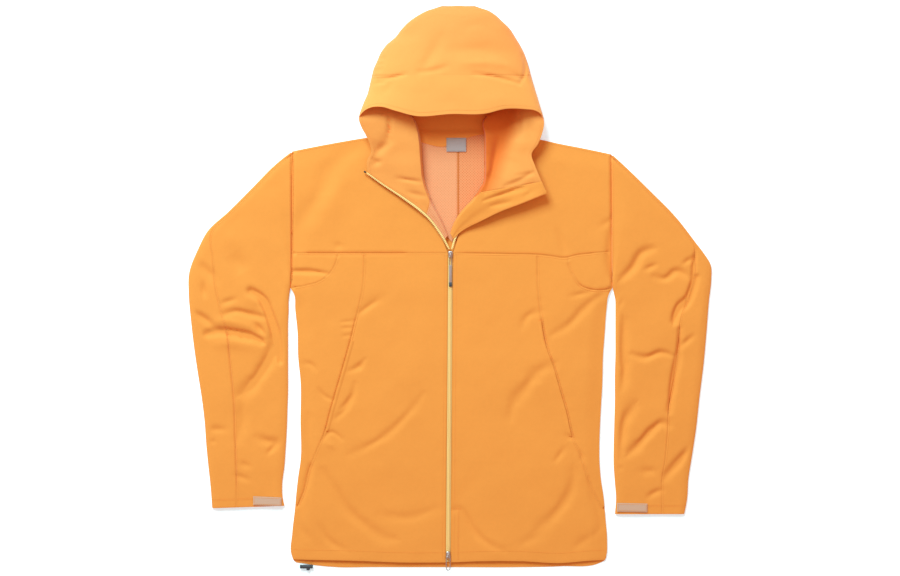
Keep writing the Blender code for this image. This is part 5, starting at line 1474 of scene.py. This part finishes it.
def loop_of(x, y_high, y_low, half, z_high, z_low, radius):
    """A closed wire loop in plan, sloping from its far end down to its near end."""
    turn = np.radians(np.arange(0, 180, 22.5))
    far = [(x + half * math.cos(a), y_high - half + half * math.sin(a)) for a in turn]
    near = [(x - half * math.cos(a), y_low + half - half * math.sin(a)) for a in turn]
    sides_y = np.linspace(y_high - half, y_low + half, 8)[1:-1]
    left = [(x - half, y) for y in sides_y]
    right = [(x + half, y) for y in sides_y[::-1]]
    plan = np.array(far + left + near + right)
    down = soft_step(y_high - 2.4 - plan[:, 1], 8.0)
    z = z_high * (1 - down) + z_low * down
    return swept(np.column_stack([plan, z]), radius, closed=True)


def build_pulls():
    """Both sliders with their pulls."""
    x, pin_y, pin_z = build_slider("top", SLIDER_TOP_Y)
    rest = float(chain_top(SLIDER_TOP_Y - 20)) + GAP + 0.8
    link = loop_of(x, pin_y + 0.4, pin_y - 17.5, 1.75, pin_z, rest, 0.62)
    low, high = pin_y + 0.6 - PULL_LONG, pin_y - 15.6
    plan = []
    for cx, cy, start in ((x + 1.5, low + 1.0, -90), (x + 1.6, high - 0.9, 0),
                          (x - 1.6, high - 0.9, 90), (x - 1.5, low + 1.0, 180)):
        for step in range(5):
            a = math.radians(start + 22.5 * step)
            plan.append((cx + 0.9 * math.cos(a), cy + 0.9 * math.sin(a)))
    plan = np.array(plan)
    middle = plan.mean(axis=0)
    blade = [raised(middle + (plan - middle) * (size, 0.5 + 0.5 * size), rest - 0.75 + up)
             for size, up in ((0.86, 0.0), (1.0, 0.25), (1.0, 1.15), (0.8, 1.5))]
    tip = [raised((x, low + 3.4) + (plan - (x, middle[1])) * (1.04 * size, 0.22 * size),
                  rest - 0.85 + up)
           for size, up in ((0.9, 0.0), (1.0, 0.3), (1.0, 1.3), (0.84, 1.7))]
    piece("pull_top_metal", *together([link, stacked(blade)]), "slider_metal", body="pull_top",
          sharp=40, stands_for=("pull_top",))
    piece("pull_top_tip", *stacked(tip), "cord_lock_plastic", body="pull_top", sharp=40,
          stands_for=("pull_top",))
    x, pin_y, pin_z = build_slider("bottom", SLIDER_BOTTOM_Y)
    rest = float(chain_top(SLIDER_BOTTOM_Y - 14)) + GAP + 0.8
    ring = loop_of(x, pin_y + 0.4, pin_y + 0.6 - RING_LONG, RING_WIDE / 2 - 0.8, pin_z, rest, 0.8)
    piece("pull_bottom_metal", *ring, "slider_metal", body="pull_bottom",
          stands_for=("pull_bottom",))


def build_cord_lock():
    """The barrel lock of the hem's drawcord, with its round button."""
    x, y = LOCK_AT
    high = LOCK_RADIUS + 0.1
    half = ((0.60, 1.0), (0.63, 0.88), (0.69, 0.88), (0.72, 1.0), (0.9, 1.0), (0.96, 0.94),
            (1.0, 0.72))
    grooves = [(-u, r) for u, r in half[::-1]] + list(half)
    barrel = swept([(x + LOCK_LONG / 2 * u, y, high) for u, _ in grooves],
                   [LOCK_RADIUS * r for _, r in grooves], 28)
    bx, by = x + BUTTON_FROM_LOCK[0], y + BUTTON_FROM_LOCK[1]
    round_off = ((-1.0, 0.75), (-0.9, 0.95), (-0.7, 1.0), (0.9, 1.0), (1.0, 0.9))
    button = swept([(bx, by + BUTTON_LONG / 2 * u, high) for u, _ in round_off],
                   [BUTTON_RADIUS * r for _, r in round_off], 24)
    piece("cord_lock_plastic", *together([barrel, button]), "cord_lock_plastic", sharp=35,
          stands_for=("cord_lock",))


# ---------------------------------------------------------------- stage
FLOOR_REACH, FLOOR_Z = 16.0, -0.0002     # metres
PAPER = {"Base Color": (0.98, 0.88, 0.89, 1), "Roughness": 0.9,
         "Emission Color": (0.43, 0.85, 1, 1), "Emission Strength": 0.5}
WORLD_LIGHT, WORLD_TINT = 0.60, (1.06, 0.78, 0.62)
LAMP_AT, LAMP_SIZE, LAMP_WATTS, LAMP_TINT = (-1.15, 2.5, 2.4), 1.6, 160.0, (0.57, 1.02, 1.10)
CAMERA_UP, CAMERA_LENS, CAMERA_SENSOR = 4.25, 100.0, 36.0       # metres, millimetres


def build_stage():
    """Pale floor, a large soft light from the hood's side, and the camera above."""
    floor = bpy.data.meshes.new("floor")
    floor.from_pydata([(x * FLOOR_REACH, y * FLOOR_REACH, FLOOR_Z)
                       for x, y in ((-1, -1), (1, -1), (1, 1), (-1, 1))], [], [(0, 1, 2, 3)])
    paper = bpy.data.materials.new("floor_paper")
    paper.use_nodes = True
    for key, value in PAPER.items():
        paper.node_tree.nodes["Principled BSDF"].inputs[key].default_value = value
    floor.materials.append(paper)
    linked("floor", floor)

    world = bpy.data.worlds.new("studio")
    world.use_nodes = True
    sky = world.node_tree.nodes["Background"]
    sky.inputs["Color"].default_value = (*WORLD_TINT, 1)
    sky.inputs["Strength"].default_value = WORLD_LIGHT
    bpy.context.scene.world = world

    lamp = bpy.data.lights.new("key", "AREA")
    lamp.size, lamp.energy, lamp.color = LAMP_SIZE, LAMP_WATTS, LAMP_TINT
    light = linked("key", lamp)
    light.location = LAMP_AT
    light.rotation_euler = (-Vector(LAMP_AT)).to_track_quat("-Z", "Y").to_euler()

    camera = bpy.data.cameras.new("camera")
    camera.lens, camera.sensor_width = CAMERA_LENS, CAMERA_SENSOR
    camera.dof.use_dof = False
    seen = linked("camera", camera)
    seen.location = (0.0, 0.0, CAMERA_UP)
    bpy.context.scene.camera = seen
    bpy.context.scene.view_settings.view_transform = "Standard"


# ---------------------------------------------------------------- the jacket
build_body()
body_stitches()
build_sleeve("R", SLEEVE_FOLDS_R)
build_sleeve("L", SLEEVE_FOLDS_L)
build_hood()
build_flaps()
build_lining()
build_chain()
build_pulls()
build_cord_lock()
build_stage()
